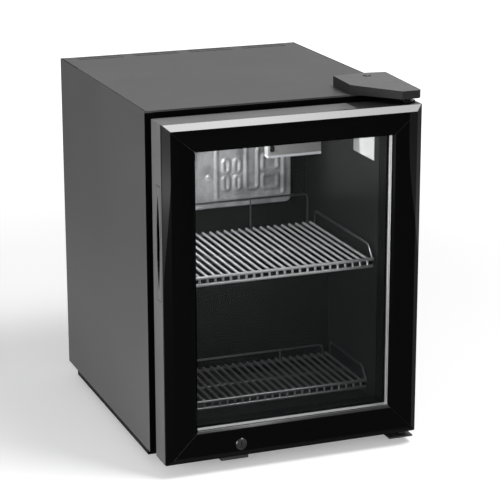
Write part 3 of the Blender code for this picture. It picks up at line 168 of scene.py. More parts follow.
class Finish:
    """A material whose constants sit on the Principled shader's own sockets."""

    def __init__(self, name, colour, roughness, **constants):
        self.material = bpy.data.materials.new(name)
        self.material.use_nodes = True
        self.tree = self.material.node_tree
        self.shader = self.tree.nodes["Principled BSDF"]
        self.set("Base Color", (*colour, 1))
        self.set("Roughness", roughness)
        for socket, value in constants.items():
            self.set(socket.replace("_", " "), value)
        self.material.diffuse_color = (*colour, 1)

    def feed(self, socket, value):
        if isinstance(value, Flow):
            self.tree.links.new(value.socket, socket)
        else:
            socket.default_value = value

    def set(self, socket, value):
        self.feed(self.shader.inputs[socket], value)

    def node(self, kind, settings=None, inputs=None, output=0):
        made = self.tree.nodes.new(kind)
        for name, value in (settings or {}).items():
            setattr(made, name, value)
        for key, value in (inputs or {}).items():
            self.feed(made.inputs[key], value)
        return Flow(self, made.outputs[output])

    def place(self):
        """The point on the surface, in metres, which moves with the piece."""
        return self.node("ShaderNodeTexCoord", output=PLACE_OUTPUT)

    def split(self, arrow):
        """Three numbers from one point or direction."""
        parts = self.node("ShaderNodeSeparateXYZ", inputs={0: arrow})
        return [Flow(self, parts.socket.node.outputs[i]) for i in range(3)]

    def axes(self):
        """The point on the surface as three numbers."""
        return self.split(self.place())

    def facing(self):
        """The direction the surface faces, as three numbers."""
        return self.split(self.node("ShaderNodeTexCoord", output=FACING_OUTPUT))

    def noise(self, scale, detail=3.0, stretch=(1, 1, 1), roughness=0.5):
        point = self.node("ShaderNodeVectorMath", {"operation": "MULTIPLY"}, {0: self.place(), 1: stretch})
        wanted = {"Vector": point, "Scale": scale, "Detail": detail, "Roughness": roughness}
        return self.node("ShaderNodeTexNoise", inputs=wanted)

    def between(self, value, low, high):
        """0 at low and 1 at high, with a soft start and end."""
        wanted = {"Value": value, "From Min": low, "From Max": high}
        return self.node("ShaderNodeMapRange", {"interpolation_type": "SMOOTHSTEP"}, wanted)

    def mix(self, amount, first, second):
        """From the first colour to the second."""
        wanted = {0: amount, MIX_FIRST: first, MIX_SECOND: second}
        return self.node("ShaderNodeMix", {"data_type": "RGBA"}, wanted, output=MIX_RESULT)

    def bump(self, height, depth, strength=1.0):
        wanted = {"Height": height, "Distance": depth, "Strength": strength}
        self.set("Normal", self.node("ShaderNodeBump", inputs=wanted))


def grey(level):
    """A neutral colour."""
    return (level, level, level, 1)


print("the helpers for finishes are ready")

# %% [markdown]
# ## Painted steel
#
# The side panels and the lid are folded steel sheet with a matte charcoal powder coat. Close up, such
# a coat has a fine orange-peel grain, and it takes the light a little unevenly. Both are noise: a fine
# one lifts the surface by hundredths of a millimetre, and a coarse one shifts the colour slightly. The
# coat is painted lighter near the foot, as painted light thrown back by the white floor. The folded
# edges that face the door are painted black below a narrow rim, as painted shade in the gap round the
# door, and the wall of the bottom tray is as dark. The front frame in that gap is painted near black
# for the same shade. The mask is a black metal, because a black paint would still have a sheen.

# %% Make the painted steel
PAINT_GRAIN = 1500
CLOUD_SCALE = 9
FLOOR_LIGHT_FROM = 0.34
FLOOR_LIGHT_TO = 0.02
RIM_HEIGHT = 0.0024
TRAY_BAND = 0.0078
MASK_BLACK = grey(0.004)
lid_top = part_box("top_panel")[1].z
tray_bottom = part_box("base_tray")[0].z

steel_paint = Finish("charcoal powder coat", (0.085, 0.085, 0.087), 0.5, Specular_IOR_Level=0.25)
grain = steel_paint.noise(PAINT_GRAIN, detail=2)
cloud = steel_paint.between(steel_paint.noise(CLOUD_SCALE, detail=5), 0.25, 0.75)
z = steel_paint.axes()[2]
depth = steel_paint.facing()[1]
# painted shade: the folded edges that face the door turn black, for the shade in the gap round the door
painted_gap_shade = steel_paint.between(depth, -0.6, -0.9)
# painted light: the coat turns lighter towards the floor, for the light the white floor throws back
painted_floor_light = steel_paint.between(z, FLOOR_LIGHT_FROM, FLOOR_LIGHT_TO)
shade = 0.14 * cloud + 0.14 * grain + 0.60 * painted_floor_light
coat = steel_paint.mix(shade, (0.049, 0.049, 0.051, 1), (0.128, 0.128, 0.130, 1))
# the painted gap shade, together with the dark band along the bottom tray
gap_shade_and_tray_black = (painted_gap_shade * (z < lid_top - RIM_HEIGHT)).largest(z < tray_bottom + TRAY_BAND)
steel_paint.set("Base Color", steel_paint.mix(gap_shade_and_tray_black, coat, MASK_BLACK))
steel_paint.set("Metallic", gap_shade_and_tray_black)
steel_paint.set("Roughness", 0.43 + 0.12 * grain + 0.06 * cloud)
steel_paint.bump(grain, 0.00004, 0.6)

# painted shade: the front frame sits in the gap round the door and is near black without sheen, for the
# shade there
gap_shade_paint = Finish("front edge with painted shade", (0.006, 0.006, 0.006), 0.6, Specular_IOR_Level=0.02)
grain = gap_shade_paint.noise(PAINT_GRAIN, detail=2)
gap_shade_paint.set("Base Color", gap_shade_paint.mix(grain, MASK_BLACK, grey(0.009)))
gap_shade_paint.bump(grain, 0.00004, 0.6)

base_paint = Finish("black base paint", (0.014, 0.014, 0.015), 0.5)
grain = base_paint.noise(900, detail=3)
base_paint.set("Base Color", base_paint.mix(grain, grey(0.010), grey(0.022)))
base_paint.set("Roughness", 0.4 + 0.2 * grain)
base_paint.bump(grain, 0.00005, 0.6)
for finish in (steel_paint, gap_shade_paint, base_paint):
    print("painted steel:", finish.material.name)

# %% [markdown]
# ## Glossy black profiles
#
# The front of the door is four mitred profiles with a deep black gloss. Seen from the front they are
# almost pure black, and only their slanted outer bands mirror the studio. A single glossy black would
# mirror the white floor all over and turn grey. So the flat of a profile has a weak gloss, and a clear
# coat lies only where the real profile shines: all along the top band, weakly in a wedge that narrows
# down the left one, and in another wedge down the right one. Faint wiping marks in the roughness break
# the mirror up.

# %% Make the glossy black
LEFT_WEDGE = 0.0105
RIGHT_WEDGE = 0.021
LEFT_HAIRLINE = 0.0004
RIGHT_HAIRLINE = 0.0008
RIGHT_GLOSS = 0.32
WEDGE_FOOT = 0.27
WEDGE_TOP = 0.46

door_low, door_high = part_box("door_rear_frame")
gloss_black = Finish("gloss black profile", (0.0016, 0.0016, 0.0018), 0.10, Specular_IOR_Level=0.02)
x, y, z = gloss_black.axes()
across, depth, rise = gloss_black.facing()
slanted = gloss_black.between(abs(depth), 0.96, 0.90)
upper = slanted * (rise > 0.3)
upper = upper * (0.95 - 0.3 * gloss_black.between(x, -0.12, 0.19))
height = gloss_black.between(z, WEDGE_FOOT, WEDGE_TOP)
from_left = x - door_low.x
left = (from_left < LEFT_WEDGE * height ** 0.7 + LEFT_HAIRLINE) * (across < -0.3)
left = left * (0.06 + 0.14 * gloss_black.between(z, 0.48, 0.38))
from_right = door_high.x - x
right = (from_right < RIGHT_WEDGE * height ** 0.6 + RIGHT_HAIRLINE) * (rise < 0.3)
right = right * (y < door_low.y - 0.001)
gloss_black.set("Coat Weight", upper.largest(left).largest(RIGHT_GLOSS * right))
gloss_black.set("Coat Roughness", 0.10)
smear = gloss_black.noise(26, detail=4, stretch=(1, 1, 0.35))
gloss_black.set("Roughness", 0.07 + 0.09 * smear)
print("profiles:", gloss_black.material.name)

# %% [markdown]
# ## Plastics and rubber
#
# The deep rear frame of the door is a mid-grey extrusion with drawn lines along its length, and its
# inner half is black without sheen. The smaller mouldings are satin plastics that differ in darkness and
# grain. Making each one its own finish costs little and keeps the pieces apart under the same light.

# %% Make the plastics
DRAWN_LINES = 5200
INNER_BLACK_FROM = 0.030

grey_frame = Finish("grey door extrusion", (0.150, 0.150, 0.153), 0.42, Specular_IOR_Level=0.35)
x, y, z = grey_frame.axes()
fine = grey_frame.noise(1100, detail=2)
drawn = (y * DRAWN_LINES).sine()
from_side = (x - door_low.x).smallest(door_high.x - x)
from_end = (z - door_low.z).smallest(door_high.z - z)
inner_black = from_side.smallest(from_end) > INNER_BLACK_FROM
tone = grey_frame.mix(grey_frame.noise(14), grey(0.088), grey(0.128))
grey_frame.set("Base Color", grey_frame.mix(inner_black, tone, grey(0.006)))
grey_frame.set("Metallic", inner_black)
grey_frame.set("Roughness", 0.36 + 0.12 * fine)
grey_frame.bump(drawn + fine, 0.00003, 0.5)


def moulded(name, dark, light, roughness, grain_size, depth=0.00005, gloss=0.5):
    """A moulded plastic with a spark-eroded grain."""
    made = Finish(name, (light, light, light), roughness, Specular_IOR_Level=gloss)
    speck = made.noise(grain_size, detail=3)
    cloud = made.noise(18, detail=3)
    made.set("Base Color", made.mix(0.5 * speck + 0.5 * cloud, grey(dark), grey(light)))
    made.set("Roughness", roughness - 0.06 + 0.12 * speck)
    made.bump(speck, depth, 0.6)
    return made


black_moulding = moulded("black moulding", 0.004, 0.010, 0.42, 900, gloss=0.15)
hinge_moulding = moulded("hinge cover moulding", 0.022, 0.036, 0.55, 1300, gloss=0.2)
rise = hinge_moulding.facing()[2]
patches = hinge_moulding.noise(60)
# painted light: the top face of the hinge cover gets a much lighter grey than its sides, for the lamp above
painted_top_light = hinge_moulding.mix(patches, grey(0.105), grey(0.150))
matte = hinge_moulding.mix(patches, grey(0.009), grey(0.016))
topmost = hinge_moulding.between(rise, 0.6, 0.95)
hinge_moulding.set("Base Color", hinge_moulding.mix(topmost, matte, painted_top_light))
liner_sheet = moulded("liner sheet", 0.005, 0.011, 0.36, 420, 0.00003, gloss=0.3)
lamp_moulding = moulded("lamp moulding", 0.22, 0.36, 0.42, 700)
label_sheet = moulded("blank label sheet", 0.78, 0.84, 0.55, 1600, 0.00002)
black_rubber = moulded("black rubber", 0.006, 0.016, 0.75, 700)
foam_fill = moulded("cut foam", 0.45, 0.62, 0.9, 260, 0.0004)
print("plastics and rubber: 8 finishes")

# %% [markdown]
# ## Metals
#
# Bright plated wire, brushed aluminium, bare zinc-plated sheet, copper pipe and the dark metal of the
# lock. A metal needs little colour: what one sees is its surroundings, broken up by its roughness. So
# each one gets brush lines or spangle in the roughness and a slight bump. The wire comes in three tones,
# two of them painted shade: the upper shelf is the brightest, the lower one is painted darker for the
# shade under the upper shelf, and the rails and fences are painted darker still for the shade they lie in.

# %% Make the metals
METAL_BUMP = 0.00002


def metal(name, colour, roughness, spread, size, bare=1.0):
    """A metal whose roughness wanders. Less bare means duller, with a thin oxide over it."""
    made = Finish(name, colour, roughness, Metallic=bare)
    streak = made.noise(size, detail=4)
    darker = (*[0.78 * c for c in colour], 1)
    made.set("Base Color", made.mix(streak, darker, (*colour, 1)))
    made.set("Roughness", roughness - spread / 2 + spread * streak)
    made.bump(streak, METAL_BUMP, 0.5)
    return made


# painted shade: a darker copy of the plated wire, for the rails, guards and fences that lie in the shade
painted_shade_wire = metal("plated rail with painted shade", (0.20, 0.20, 0.21), 0.30, 0.14, 300)
chrome_wire = metal("bright plated wire", (0.70, 0.71, 0.72), 0.34, 0.14, 300, bare=0.65)
# painted shade: a darker copy of the plated wire, for the lower shelf in the shade of the upper one
painted_shade_bench = metal("plated wire with painted shade", (0.30, 0.30, 0.31), 0.34, 0.14, 300, bare=0.8)
brushed_plate = metal("evaporator aluminium", (0.74, 0.75, 0.76), 0.42, 0.26, 45, bare=0.55)
stain = brushed_plate.between(brushed_plate.noise(26, detail=6, roughness=0.65), 0.34, 0.68)
brushed_plate.set("Base Color", brushed_plate.mix(stain, (0.29, 0.29, 0.30, 1), (0.56, 0.57, 0.58, 1)))
zinc_sheet = metal("zinc plated sheet", (0.42, 0.43, 0.44), 0.38, 0.25, 90)
copper_pipe = metal("copper pipe", (0.58, 0.27, 0.15), 0.32, 0.25, 140)
lock_metal = metal("lock metal", (0.045, 0.045, 0.047), 0.14, 0.10, 500)
screw_metal = metal("screw metal", (0.66, 0.67, 0.68), 0.30, 0.2, 600, bare=0.6)
print("metals: 8 finishes")

# %% [markdown]
# The spacer between the panes is a hollow aluminium bar with two rows of tiny holes towards the air
# gap. The holes are a repeating pattern along the bar: a dark dot where the distance to the nearest
# centre is small. The compressor wears a smooth black enamel.

# %% Make the spacer and the enamel
HOLE_PITCH = 0.0034
HOLE_RADIUS = 0.0005
ROW_PITCH = 0.005
ROW_START = 0.2165

spacer_metal = Finish("perforated spacer", (0.86, 0.87, 0.88), 0.5, Metallic=0.6)
x, y, z = spacer_metal.axes()
step_x = abs(x % HOLE_PITCH - HOLE_PITCH / 2)
step_z = abs(z % HOLE_PITCH - HOLE_PITCH / 2)
step_y = abs((y + ROW_START) % ROW_PITCH - ROW_PITCH / 2)
along = step_x.smallest(step_z)
hole = (along * along + step_y * step_y) < HOLE_RADIUS ** 2
spacer_metal.set("Base Color", spacer_metal.mix(hole, grey(0.90), grey(0.12)))
spacer_metal.bump(1 - hole, 0.0003, 0.6)

black_enamel = Finish("compressor enamel", (0.008, 0.008, 0.009), 0.22)
peel = black_enamel.noise(240, detail=2)
black_enamel.set("Roughness", 0.16 + 0.14 * peel)
black_enamel.bump(peel, 0.0002, 0.4)
print("spacer hole pitch in mm:", HOLE_PITCH * 1000)

# %% [markdown]
# ## Glass and the lit diffuser
#
# The door's panes are clear, and the picture looks straight through them. Full refraction would cost
# many samples for panes that bend the view by less than a millimetre, and it would shut the studio
# light out of the cabinet. A nearly transparent, very smooth surface is the better choice here. The
# diffuser under the lamp glows: its light is what makes the plate and the shelf shine.

# %% Make the glass and the diffuser
GLASS_ALPHA = 0.10
DIFFUSER_RIBS = 1570

pane_glass = Finish("clear pane", (0.010, 0.012, 0.012), 0.02, Alpha=GLASS_ALPHA, Specular_IOR_Level=0.18)
smear = pane_glass.noise(30, detail=3)
pane_glass.set("Roughness", 0.01 + 0.05 * smear)

lamp_glow = Finish("lit diffuser", (0.24, 0.25, 0.26), 0.4, Emission_Strength=0.45)
x = lamp_glow.axes()[0]
ribs = abs((x * DIFFUSER_RIBS).sine())
lamp_glow.set("Emission Color", lamp_glow.mix(ribs, (0.70, 0.72, 0.74, 1), (0.95, 0.97, 1.0, 1)))
lamp_glow.bump(ribs, 0.0002, 0.5)
print("glass alpha:", GLASS_ALPHA)

# %% [markdown]
# ## Every solid gets its finish
#
# The table names the finish of each solid. Soft edges come next, but only where the eye gets close
# enough to see them: a real folded or moulded edge is never perfectly sharp, and its small round
# catches a thin line of light. A solid can't be changed, so the rounded copy stands in for it.

# %% Name the finish of each solid
FINISH_OF = {
    steel_paint: ["side_panel_left", "side_panel_right", "top_panel", "rear_cover", "base_tray"],
    gap_shade_paint: ["front_frame"],
    base_paint: ["bottom_hinge_bracket", "lock_strike"],
    gloss_black: ["door_top_rail", "door_bottom_rail", "door_left_stile", "door_right_stile"],
    grey_frame: ["door_rear_frame", "handle_insert"],
    black_moulding: [
        "door_hinge_block",
        "terminal_box",
        "lamp_rocker",
        "thermostat_knob",
        "top_hinge_bush",
        "bottom_hinge_bush",
    ],
    hinge_moulding: ["hinge_cover"],
    liner_sheet: ["inner_liner"],
    lamp_moulding: ["lamp_housing", "lamp_board"],
    label_sheet: ["wall_label"],
    black_rubber: [
        "door_gasket",
        "mains_gland",
        "foot_front_left",
        "foot_front_right",
        "foot_rear_left",
        "foot_rear_right",
        "compressor_grommet_1",
        "compressor_grommet_2",
        "compressor_grommet_3",
        "compressor_grommet_4",
    ],
    foam_fill: ["insulation_foam"],
    chrome_wire: ["upper_shelf"],
    painted_shade_bench: ["lower_shelf"],
    brushed_plate: ["evaporator_plate"],
    zinc_sheet: ["back_panel", "compressor_bay_panel", "thermostat_body", "lock_cam"],
    copper_pipe: ["suction_tube", "discharge_tube", "filter_drier", "capillary_tube"],
    lock_metal: ["lock_housing", "lock_core", "hinge_cover_screw", "top_hinge_plate"],
    screw_metal: ["evaporator_screw_1", "evaporator_screw_2"],
    spacer_metal: ["glass_spacer"],
    black_enamel: ["compressor", "condenser_tube", "condenser_grid"],
    pane_glass: ["outer_glass", "inner_glass"],
    lamp_glow: ["lamp_diffuser"],
}

finish_by_node = {node: finish for finish, nodes in FINISH_OF.items() for node in nodes}
for node, solid in frame["nodes"].items():
    solid.data.materials.clear()
    solid.data.materials.append(finish_by_node[node].material)
body_by_node = {
    node: body for body, nodes in frame["record"]["behaviour"]["bodies"].items() for node in nodes
}
print("finished solids:", len(finish_by_node))


# %% Round the edges of a copy
ROUND_SEGMENTS = 2
SHARP_ANGLE = math.radians(30)
FLAT_ANGLE = math.radians(0.5)
WELD_DISTANCE = 0.000002


def softened(node, radius):
    """A copy of a solid with rounded edges, which stands in for it."""
    work = bmesh.new()
    work.from_mesh(frame["nodes"][node].data)
    bmesh.ops.remove_doubles(work, verts=work.verts, dist=WELD_DISTANCE)
    bmesh.ops.dissolve_limit(work, angle_limit=FLAT_ANGLE, verts=work.verts, edges=work.edges)
    mesh = bpy.data.meshes.new("soft_" + node)
    work.to_mesh(mesh)
    work.free()
    mesh.materials.append(finish_by_node[node].material)
    piece = bpy.data.objects.new("soft_" + node, mesh)
    bpy.context.scene.collection.objects.link(piece)
    round_over = piece.modifiers.new("round over", "BEVEL")
    round_over.width = radius
    round_over.segments = ROUND_SEGMENTS
    round_over.limit_method = "ANGLE"
    round_over.angle_limit = SHARP_ANGLE
    round_over.harden_normals = True
    mesh.shade_smooth()
    mesh.set_sharp_from_angle(angle=SHARP_ANGLE)
    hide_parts(node)
    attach(piece, body_by_node[node])


EDGE_RADII = {
    "hinge_cover": 0.0012,
    "door_top_rail": 0.0006,
    "door_bottom_rail": 0.0006,
    "door_left_stile": 0.0006,
    "door_right_stile": 0.0006,
    "lamp_housing": 0.0008,
    "terminal_box": 0.0015,
    "bottom_hinge_bracket": 0.0006,
    "base_tray": 0.0010,
    "thermostat_knob": 0.0006,
    "top_panel": 0.0009,
    "side_panel_left": 0.0009,
    "side_panel_right": 0.0009,
    "door_rear_frame": 0.0005,
    "door_hinge_block": 0.0004,
    "lock_cam": 0.0004,
}
for node, radius in EDGE_RADII.items():
    softened(node, radius)
print("softened solids:", len(EDGE_RADII))

# %% [markdown]
# ## Bars, seals and lumps
#
# Everything finer than the solids is made of a few kinds of mesh. `bent` puts round bends into a path,
# and `swept` carries a profile along that path, which gives wires and door seals. `lump` is a small
# flattened ball such as a weld, and `turned` spins a profile round an axis. The last three return
# points and faces, and `assembled` joins any number of them into one piece that stands in for a solid.

# %% The mesh helpers
CREASE_ANGLE = math.radians(40)
MERGE_DISTANCE = 0.000001
BEND_SHARE = 0.48


def bent(points, bend, steps=6, closed=False):
    """The path with a round bend at each corner. A bend takes less than half of a short side."""
    points = [Vector(point) for point in points]
    ends = [] if closed else [points[0], points[-1]]
    corners = range(len(points)) if closed else range(1, len(points) - 1)
    path = ends[:1]
    for i in corners:
        corner = points[i]
        back = points[i - 1] - corner
        ahead = points[(i + 1) % len(points)] - corner
        half_turn = back.angle(ahead) / 2
        reach = min(bend / math.tan(half_turn), BEND_SHARE * back.length, BEND_SHARE * ahead.length)
        middle = corner + (back.normalized() + ahead.normalized()).normalized() * reach / math.cos(half_turn)
        start = corner + back.normalized() * reach - middle
        turn = start.rotation_difference(corner + ahead.normalized() * reach - middle)
        path += [middle + Quaternion().slerp(turn, step / steps) @ start for step in range(steps + 1)]
    return path + ends[1:]


def ring_profile(radius, sides=12):
    """A round profile, such as that of a wire."""
    turns = [2 * math.pi * i / sides for i in range(sides)]
    return [(radius * math.cos(turn), radius * math.sin(turn)) for turn in turns]


def swept(path, profile, normal, closed=False):
    """A profile carried along a flat path. Its first number points to the path's side."""
    path = [Vector(point) for point in path]
    normal = Vector(normal)
    count, wide = len(path), len(profile)
    points = []
    for i, place in enumerate(path):
        ahead = (path[(i + 1) % count] - place).normalized()
        behind = (place - path[i - 1]).normalized()
        if not closed and i == count - 1:
            ahead = behind
        if not closed and i == 0:
            behind = ahead
        along = (ahead + behind).normalized()
        side = along.cross(normal) / max(0.3, along.dot(ahead))
        points += [place + side * u + normal * v for u, v in profile]
    faces = []
    for i in range(count if closed else count - 1):
        here, there = i * wide, (i + 1) % count * wide
        for k in range(wide):
            following = (k + 1) % wide
            faces.append((here + k, here + following, there + following, there + k))
    if not closed:
        faces.append(tuple(range(wide)))
        faces.append(tuple(range(len(points) - wide, len(points))))
    return points, faces


def turned(profile, place, axis, steps=32):
    """A profile of radius and height spun round an axis."""
    spin = Vector((0, 0, 1)).rotation_difference(Vector(axis))
    points, faces = [], []
    for i in range(steps):
        turn = 2 * math.pi * i / steps
        for radius, height in profile:
            flat = Vector((radius * math.cos(turn), radius * math.sin(turn), height))
            points.append(Vector(place) + spin @ flat)
    wide = len(profile)
    for i in range(steps):
        here, there = i * wide, (i + 1) % steps * wide
        faces += [(here + k, there + k, there + k + 1, here + k + 1) for k in range(wide - 1)]
    return points, faces


def lump(place, size):
    """A small ball, flattened to the given half sizes."""
    ball = bmesh.new()
    bmesh.ops.create_icosphere(ball, subdivisions=2, radius=1.0)
    points = [Vector(place) + Vector(size) * vert.co for vert in ball.verts]
    faces = [tuple(vert.index for vert in face.verts) for face in ball.faces]
    ball.free()
    return points, faces


def assembled(name, parts, node, finish=None):
    """One smooth piece from many parts, in place of a solid."""
    points, faces = [], []
    for part_points, part_faces in parts:
        faces += [tuple(len(points) + i for i in face) for face in part_faces]
        points += part_points
    mesh = bpy.data.meshes.new(name)
    mesh.from_pydata(points, [], faces)
    work = bmesh.new()
    work.from_mesh(mesh)
    bmesh.ops.remove_doubles(work, verts=work.verts, dist=MERGE_DISTANCE)
    bmesh.ops.recalc_face_normals(work, faces=work.faces)
    work.to_mesh(mesh)
    work.free()
    mesh.materials.append((finish or finish_by_node[node]).material)
    mesh.shade_smooth()
    mesh.set_sharp_from_angle(angle=CREASE_ANGLE)
    piece = bpy.data.objects.new(name, mesh)
    bpy.context.scene.collection.objects.link(piece)
    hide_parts(node)
    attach(piece, body_by_node[node])
    return piece


print("the mesh helpers are ready")

# %% [markdown]
# ## Wire shelves
#
# Each shelf is a bench of 26 plated wires. They lie on two cross rails, bend down at the front and end
# on a third one, and a fourth rail runs along the bend. A guard wire rises at each side and a fence
# stands at the rear on two posts. Where a wire crosses a rail, resistance welding leaves a small
# flattened bead. The rails below, the guards and the fence are a piece of their own, because they lie
# in the shade, and that shade is painted into them as a darker wire than the bench.

# %% Build the shelves
WIRE_COUNT = 26
WIRE_RADIUS = 0.0018
RAIL_RADIUS = 0.0022
FENCE_RADIUS = 0.0015
POST_RADIUS = 0.0011
WIRE_BITE = 0.0012
NOSE_BITE = 0.001
WIRE_BEND = 0.004
GUARD_BEND = 0.007
GUARD_RISE = 0.018
GUARD_SLOPE = 0.012
GUARD_INSET = 0.0009
GUARD_GAP = 0.007
RAIL_INSET = 0.0002
REAR_INSET = 0.003
WIRE_INSET = 0.0005
MIDDLE_RAIL = 0.45
FRONT_LEAN = 0.0015
FRONT_DROP = 0.010
LOW_RAIL_DROP = 0.0106
UNDER_BEAD = (0.0023, 0.0026, 0.0011)
NOSE_BEAD = (0.0023, 0.0011, 0.0024)
NOSE_BEAD_PLACE = 0.0017
POST_BEAD = (0.0016, 0.0018, 0.0018)
SIDEWAYS = (1, 0, 0)
FORWARDS = (0, 1, 0)
SHELVES = {
    "upper_shelf": {"height": 0.2600, "front": 0.016, "rear": 0.228, "fence": 0.046, "post_step": 4},
    "lower_shelf": {"height": 0.0715, "front": 0.033, "rear": 0.165, "fence": 0.014, "post_step": 6},
}
front_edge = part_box("front_frame")[0].y


def wire_shelf(node, height, front, rear, fence, post_step):
    """One shelf. Its front and rear are measured from the front edge of the cabinet."""
    low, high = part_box(node)
    front, rear = front_edge + front, front_edge + rear
    half = (high.x - low.x) / 2 - GUARD_INSET
    outermost = half - GUARD_GAP
    pitch = 2 * outermost / (WIRE_COUNT - 1)
    under = height - WIRE_RADIUS - RAIL_RADIUS + WIRE_BITE
    back = rear - REAR_INSET
    nose = front - WIRE_RADIUS - RAIL_RADIUS + NOSE_BITE
    tip = front - FRONT_LEAN
    rails_below = [(back, under), (front + MIDDLE_RAIL * (rear - front), under)]
    rails_in_front = [(nose, height), (tip, height - LOW_RAIL_DROP)]
    bench, shaded = [], []
    for i in range(WIRE_COUNT):
        x = -outermost + pitch * i
        wire = [(x, rear - WIRE_INSET, height), (x, front, height), (x, tip, height - FRONT_DROP)]
        bench.append(swept(bent(wire, WIRE_BEND), ring_profile(WIRE_RADIUS), SIDEWAYS))
        bench.append(lump((x, nose + NOSE_BEAD_PLACE, height), NOSE_BEAD))
        for y, z in rails_below:
            shaded.append(lump((x, y, (z + height) / 2), UNDER_BEAD))
    for rails, parts in ((rails_below, shaded), (rails_in_front, bench)):
        for y, z in rails:
            rail = [(low.x + RAIL_INSET, y, z), (high.x - RAIL_INSET, y, z)]
            parts.append(swept(rail, ring_profile(RAIL_RADIUS), FORWARDS))
    top = height + GUARD_RISE
    for x in (-half, half):
        guard = [(x, nose, height), (x, front + GUARD_SLOPE, top), (x, back, top), (x, back, under)]
        shaded.append(swept(bent(guard, GUARD_BEND), ring_profile(WIRE_RADIUS), SIDEWAYS))
    end = outermost - 0.5 * pitch
    top = height + fence
    rail = [(-end, back, under), (-end, back, top), (end, back, top), (end, back, under)]
    shaded.append(swept(bent(rail, GUARD_BEND), ring_profile(FENCE_RADIUS), FORWARDS))
    for x in (-post_step * pitch, post_step * pitch):
        shaded.append(swept([(x, back, under), (x, back, top)], ring_profile(POST_RADIUS), FORWARDS))
        shaded.append(lump((x, back, top), POST_BEAD))
    assembled("round_" + node, bench, node)
    assembled("rails_" + node, shaded, node, finish=painted_shade_wire)
    return len(bench) + len(shaded)


for node, measures in SHELVES.items():
    print(node, "bars and welds:", wire_shelf(node, **measures))

# %% [markdown]
# ## Screws
#
# The screws have a wide flange, a domed head and a small socket in its middle. The same profile serves
# all three, and it is scaled to the box of each solid.

# %% Build the screws
HEAD_HEIGHT = 0.0022
HEAD_OUTLINE = [(1.0, -1.0), (1.0, -0.64), (0.78, -0.5), (0.70, -0.2), (0.50, 0), (0.27, 0)]
SOCKET_OUTLINE = [(0.20, -0.5), (0, -0.55)]
SHANK_RADIUS = 0.45


def pan_screw(node, axis):
    """A screw whose outline is given as shares of its radius and of the height of its head."""
    low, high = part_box(node)
    axis = Vector(axis)
    size = high - low
    length = abs(size.dot(axis))
    radius = (size.x + size.y + size.z - length) / 4
    start = (low + high) / 2 - axis * length / 2
    head = min(HEAD_HEIGHT, 0.6 * length)
    shape = [(0, -length), (SHANK_RADIUS, -length), (SHANK_RADIUS, -head)]
    shape += [(across, share * head) for across, share in HEAD_OUTLINE + SOCKET_OUTLINE]
    profile = [(radius * across, length + height) for across, height in shape]
    assembled("turned_" + node, [turned(profile, start, axis)], node)


pan_screw("evaporator_screw_1", (0, -1, 0))
pan_screw("evaporator_screw_2", (0, -1, 0))
pan_screw("hinge_cover_screw", (0, 0, 1))
print("turned screws: 3")

# %% [markdown]
# ## Surfaces from a grid
#
# A shallow relief is easiest to draw as a grid whose points move by a formula. Two pieces are made
# this way. The finger pull in the door's side is a plate with a lens-shaped hollow that is deepest
# half way and runs out to a point at both ends. The hollow is painted black, as painted shade in the
# recess, and the plate round it is grey.

# %% Build the finger pull
PULL_GRID = 0.0006
PULL_SEAM = 0.0007
HOLLOW_DEPTH = 0.0105
HOLLOW_PLACE = 0.0100
HOLLOW_HALF_LENGTH = 0.067
HOLLOW_HALF_WIDTH = 0.0060
WALL_STEEPNESS = 6.0
TINY = 1e-9


def grid_faces(rows, columns):
    """The faces between the points of a grid, which are numbered row by row."""
    wide = columns + 1
    return [
        (row * wide + i, row * wide + i + 1, (row + 1) * wide + i + 1, (row + 1) * wide + i)
        for row in range(rows)
        for i in range(columns)
    ]


def grid_places(low, high, columns, rows):
    """The two places of every point of a grid, from its lowest to its highest corner."""
    across = numpy.linspace(low[0], high[0], columns + 1)
    up = numpy.linspace(low[1], high[1], rows + 1)
    return numpy.meshgrid(across, up)


def finger_pull():
    """A plate with a lens-shaped hollow, set into the side of the door."""
    low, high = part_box("handle_insert")
    seam = Vector((0, PULL_SEAM, PULL_SEAM))
    low, high = low + seam, high - seam
    columns = round((high.y - low.y) / PULL_GRID)
    rows = round((high.z - low.z) / (2 * PULL_GRID))
    y, z = grid_places((low.y, low.z), (high.y, high.z), columns, rows)
    middle_y = low.y + HOLLOW_PLACE
    middle_z = (low.z + high.z) / 2
    along = numpy.clip(1 - ((z - middle_z) / HOLLOW_HALF_LENGTH) ** 2, 0, 1)
    inside = numpy.clip(1 - abs(y - middle_y) / numpy.maximum(HOLLOW_HALF_WIDTH * along, TINY), 0, 1)
    slope = numpy.clip(WALL_STEEPNESS * inside, 0, 1)
    x = low.x + HOLLOW_DEPTH * along ** 0.5 * slope * slope * (3 - 2 * slope)
    face = [Vector(point) for point in zip(x.ravel(), y.ravel(), z.ravel())]
    corners = [(low.y, low.z), (high.y, low.z), (high.y, high.z), (low.y, high.z)]
    rim = [Vector((x, y, z)) for x in (low.x, high.x) for y, z in corners]
    rim_faces = [(i, (i + 1) % 4, (i + 1) % 4 + 4, i + 4) for i in range(4)] + [(4, 5, 6, 7)]
    parts = [(face, grid_faces(rows, columns)), (rim, rim_faces)]
    assembled("finger_pull", parts, "handle_insert", finish=pull_moulding)


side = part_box("handle_insert")[0].x
pull_moulding = Finish("finger pull moulding", (0.13, 0.13, 0.13), 0.4)
x = pull_moulding.axes()[0]
grain = pull_moulding.noise(1000)
# painted shade: the hollow, from a fraction of a millimetre deep, is black without sheen
painted_hollow_shade = pull_moulding.between(x, side + 0.0001, side + 0.0004)
pull_moulding.set("Base Color", pull_moulding.mix(painted_hollow_shade, grey(0.108), grey(0.003)))
pull_moulding.set("Metallic", painted_hollow_shade)
pull_moulding.set("Roughness", 0.36 + 0.12 * grain)
pull_moulding.bump(grain, 0.00004, 0.5)
finger_pull()

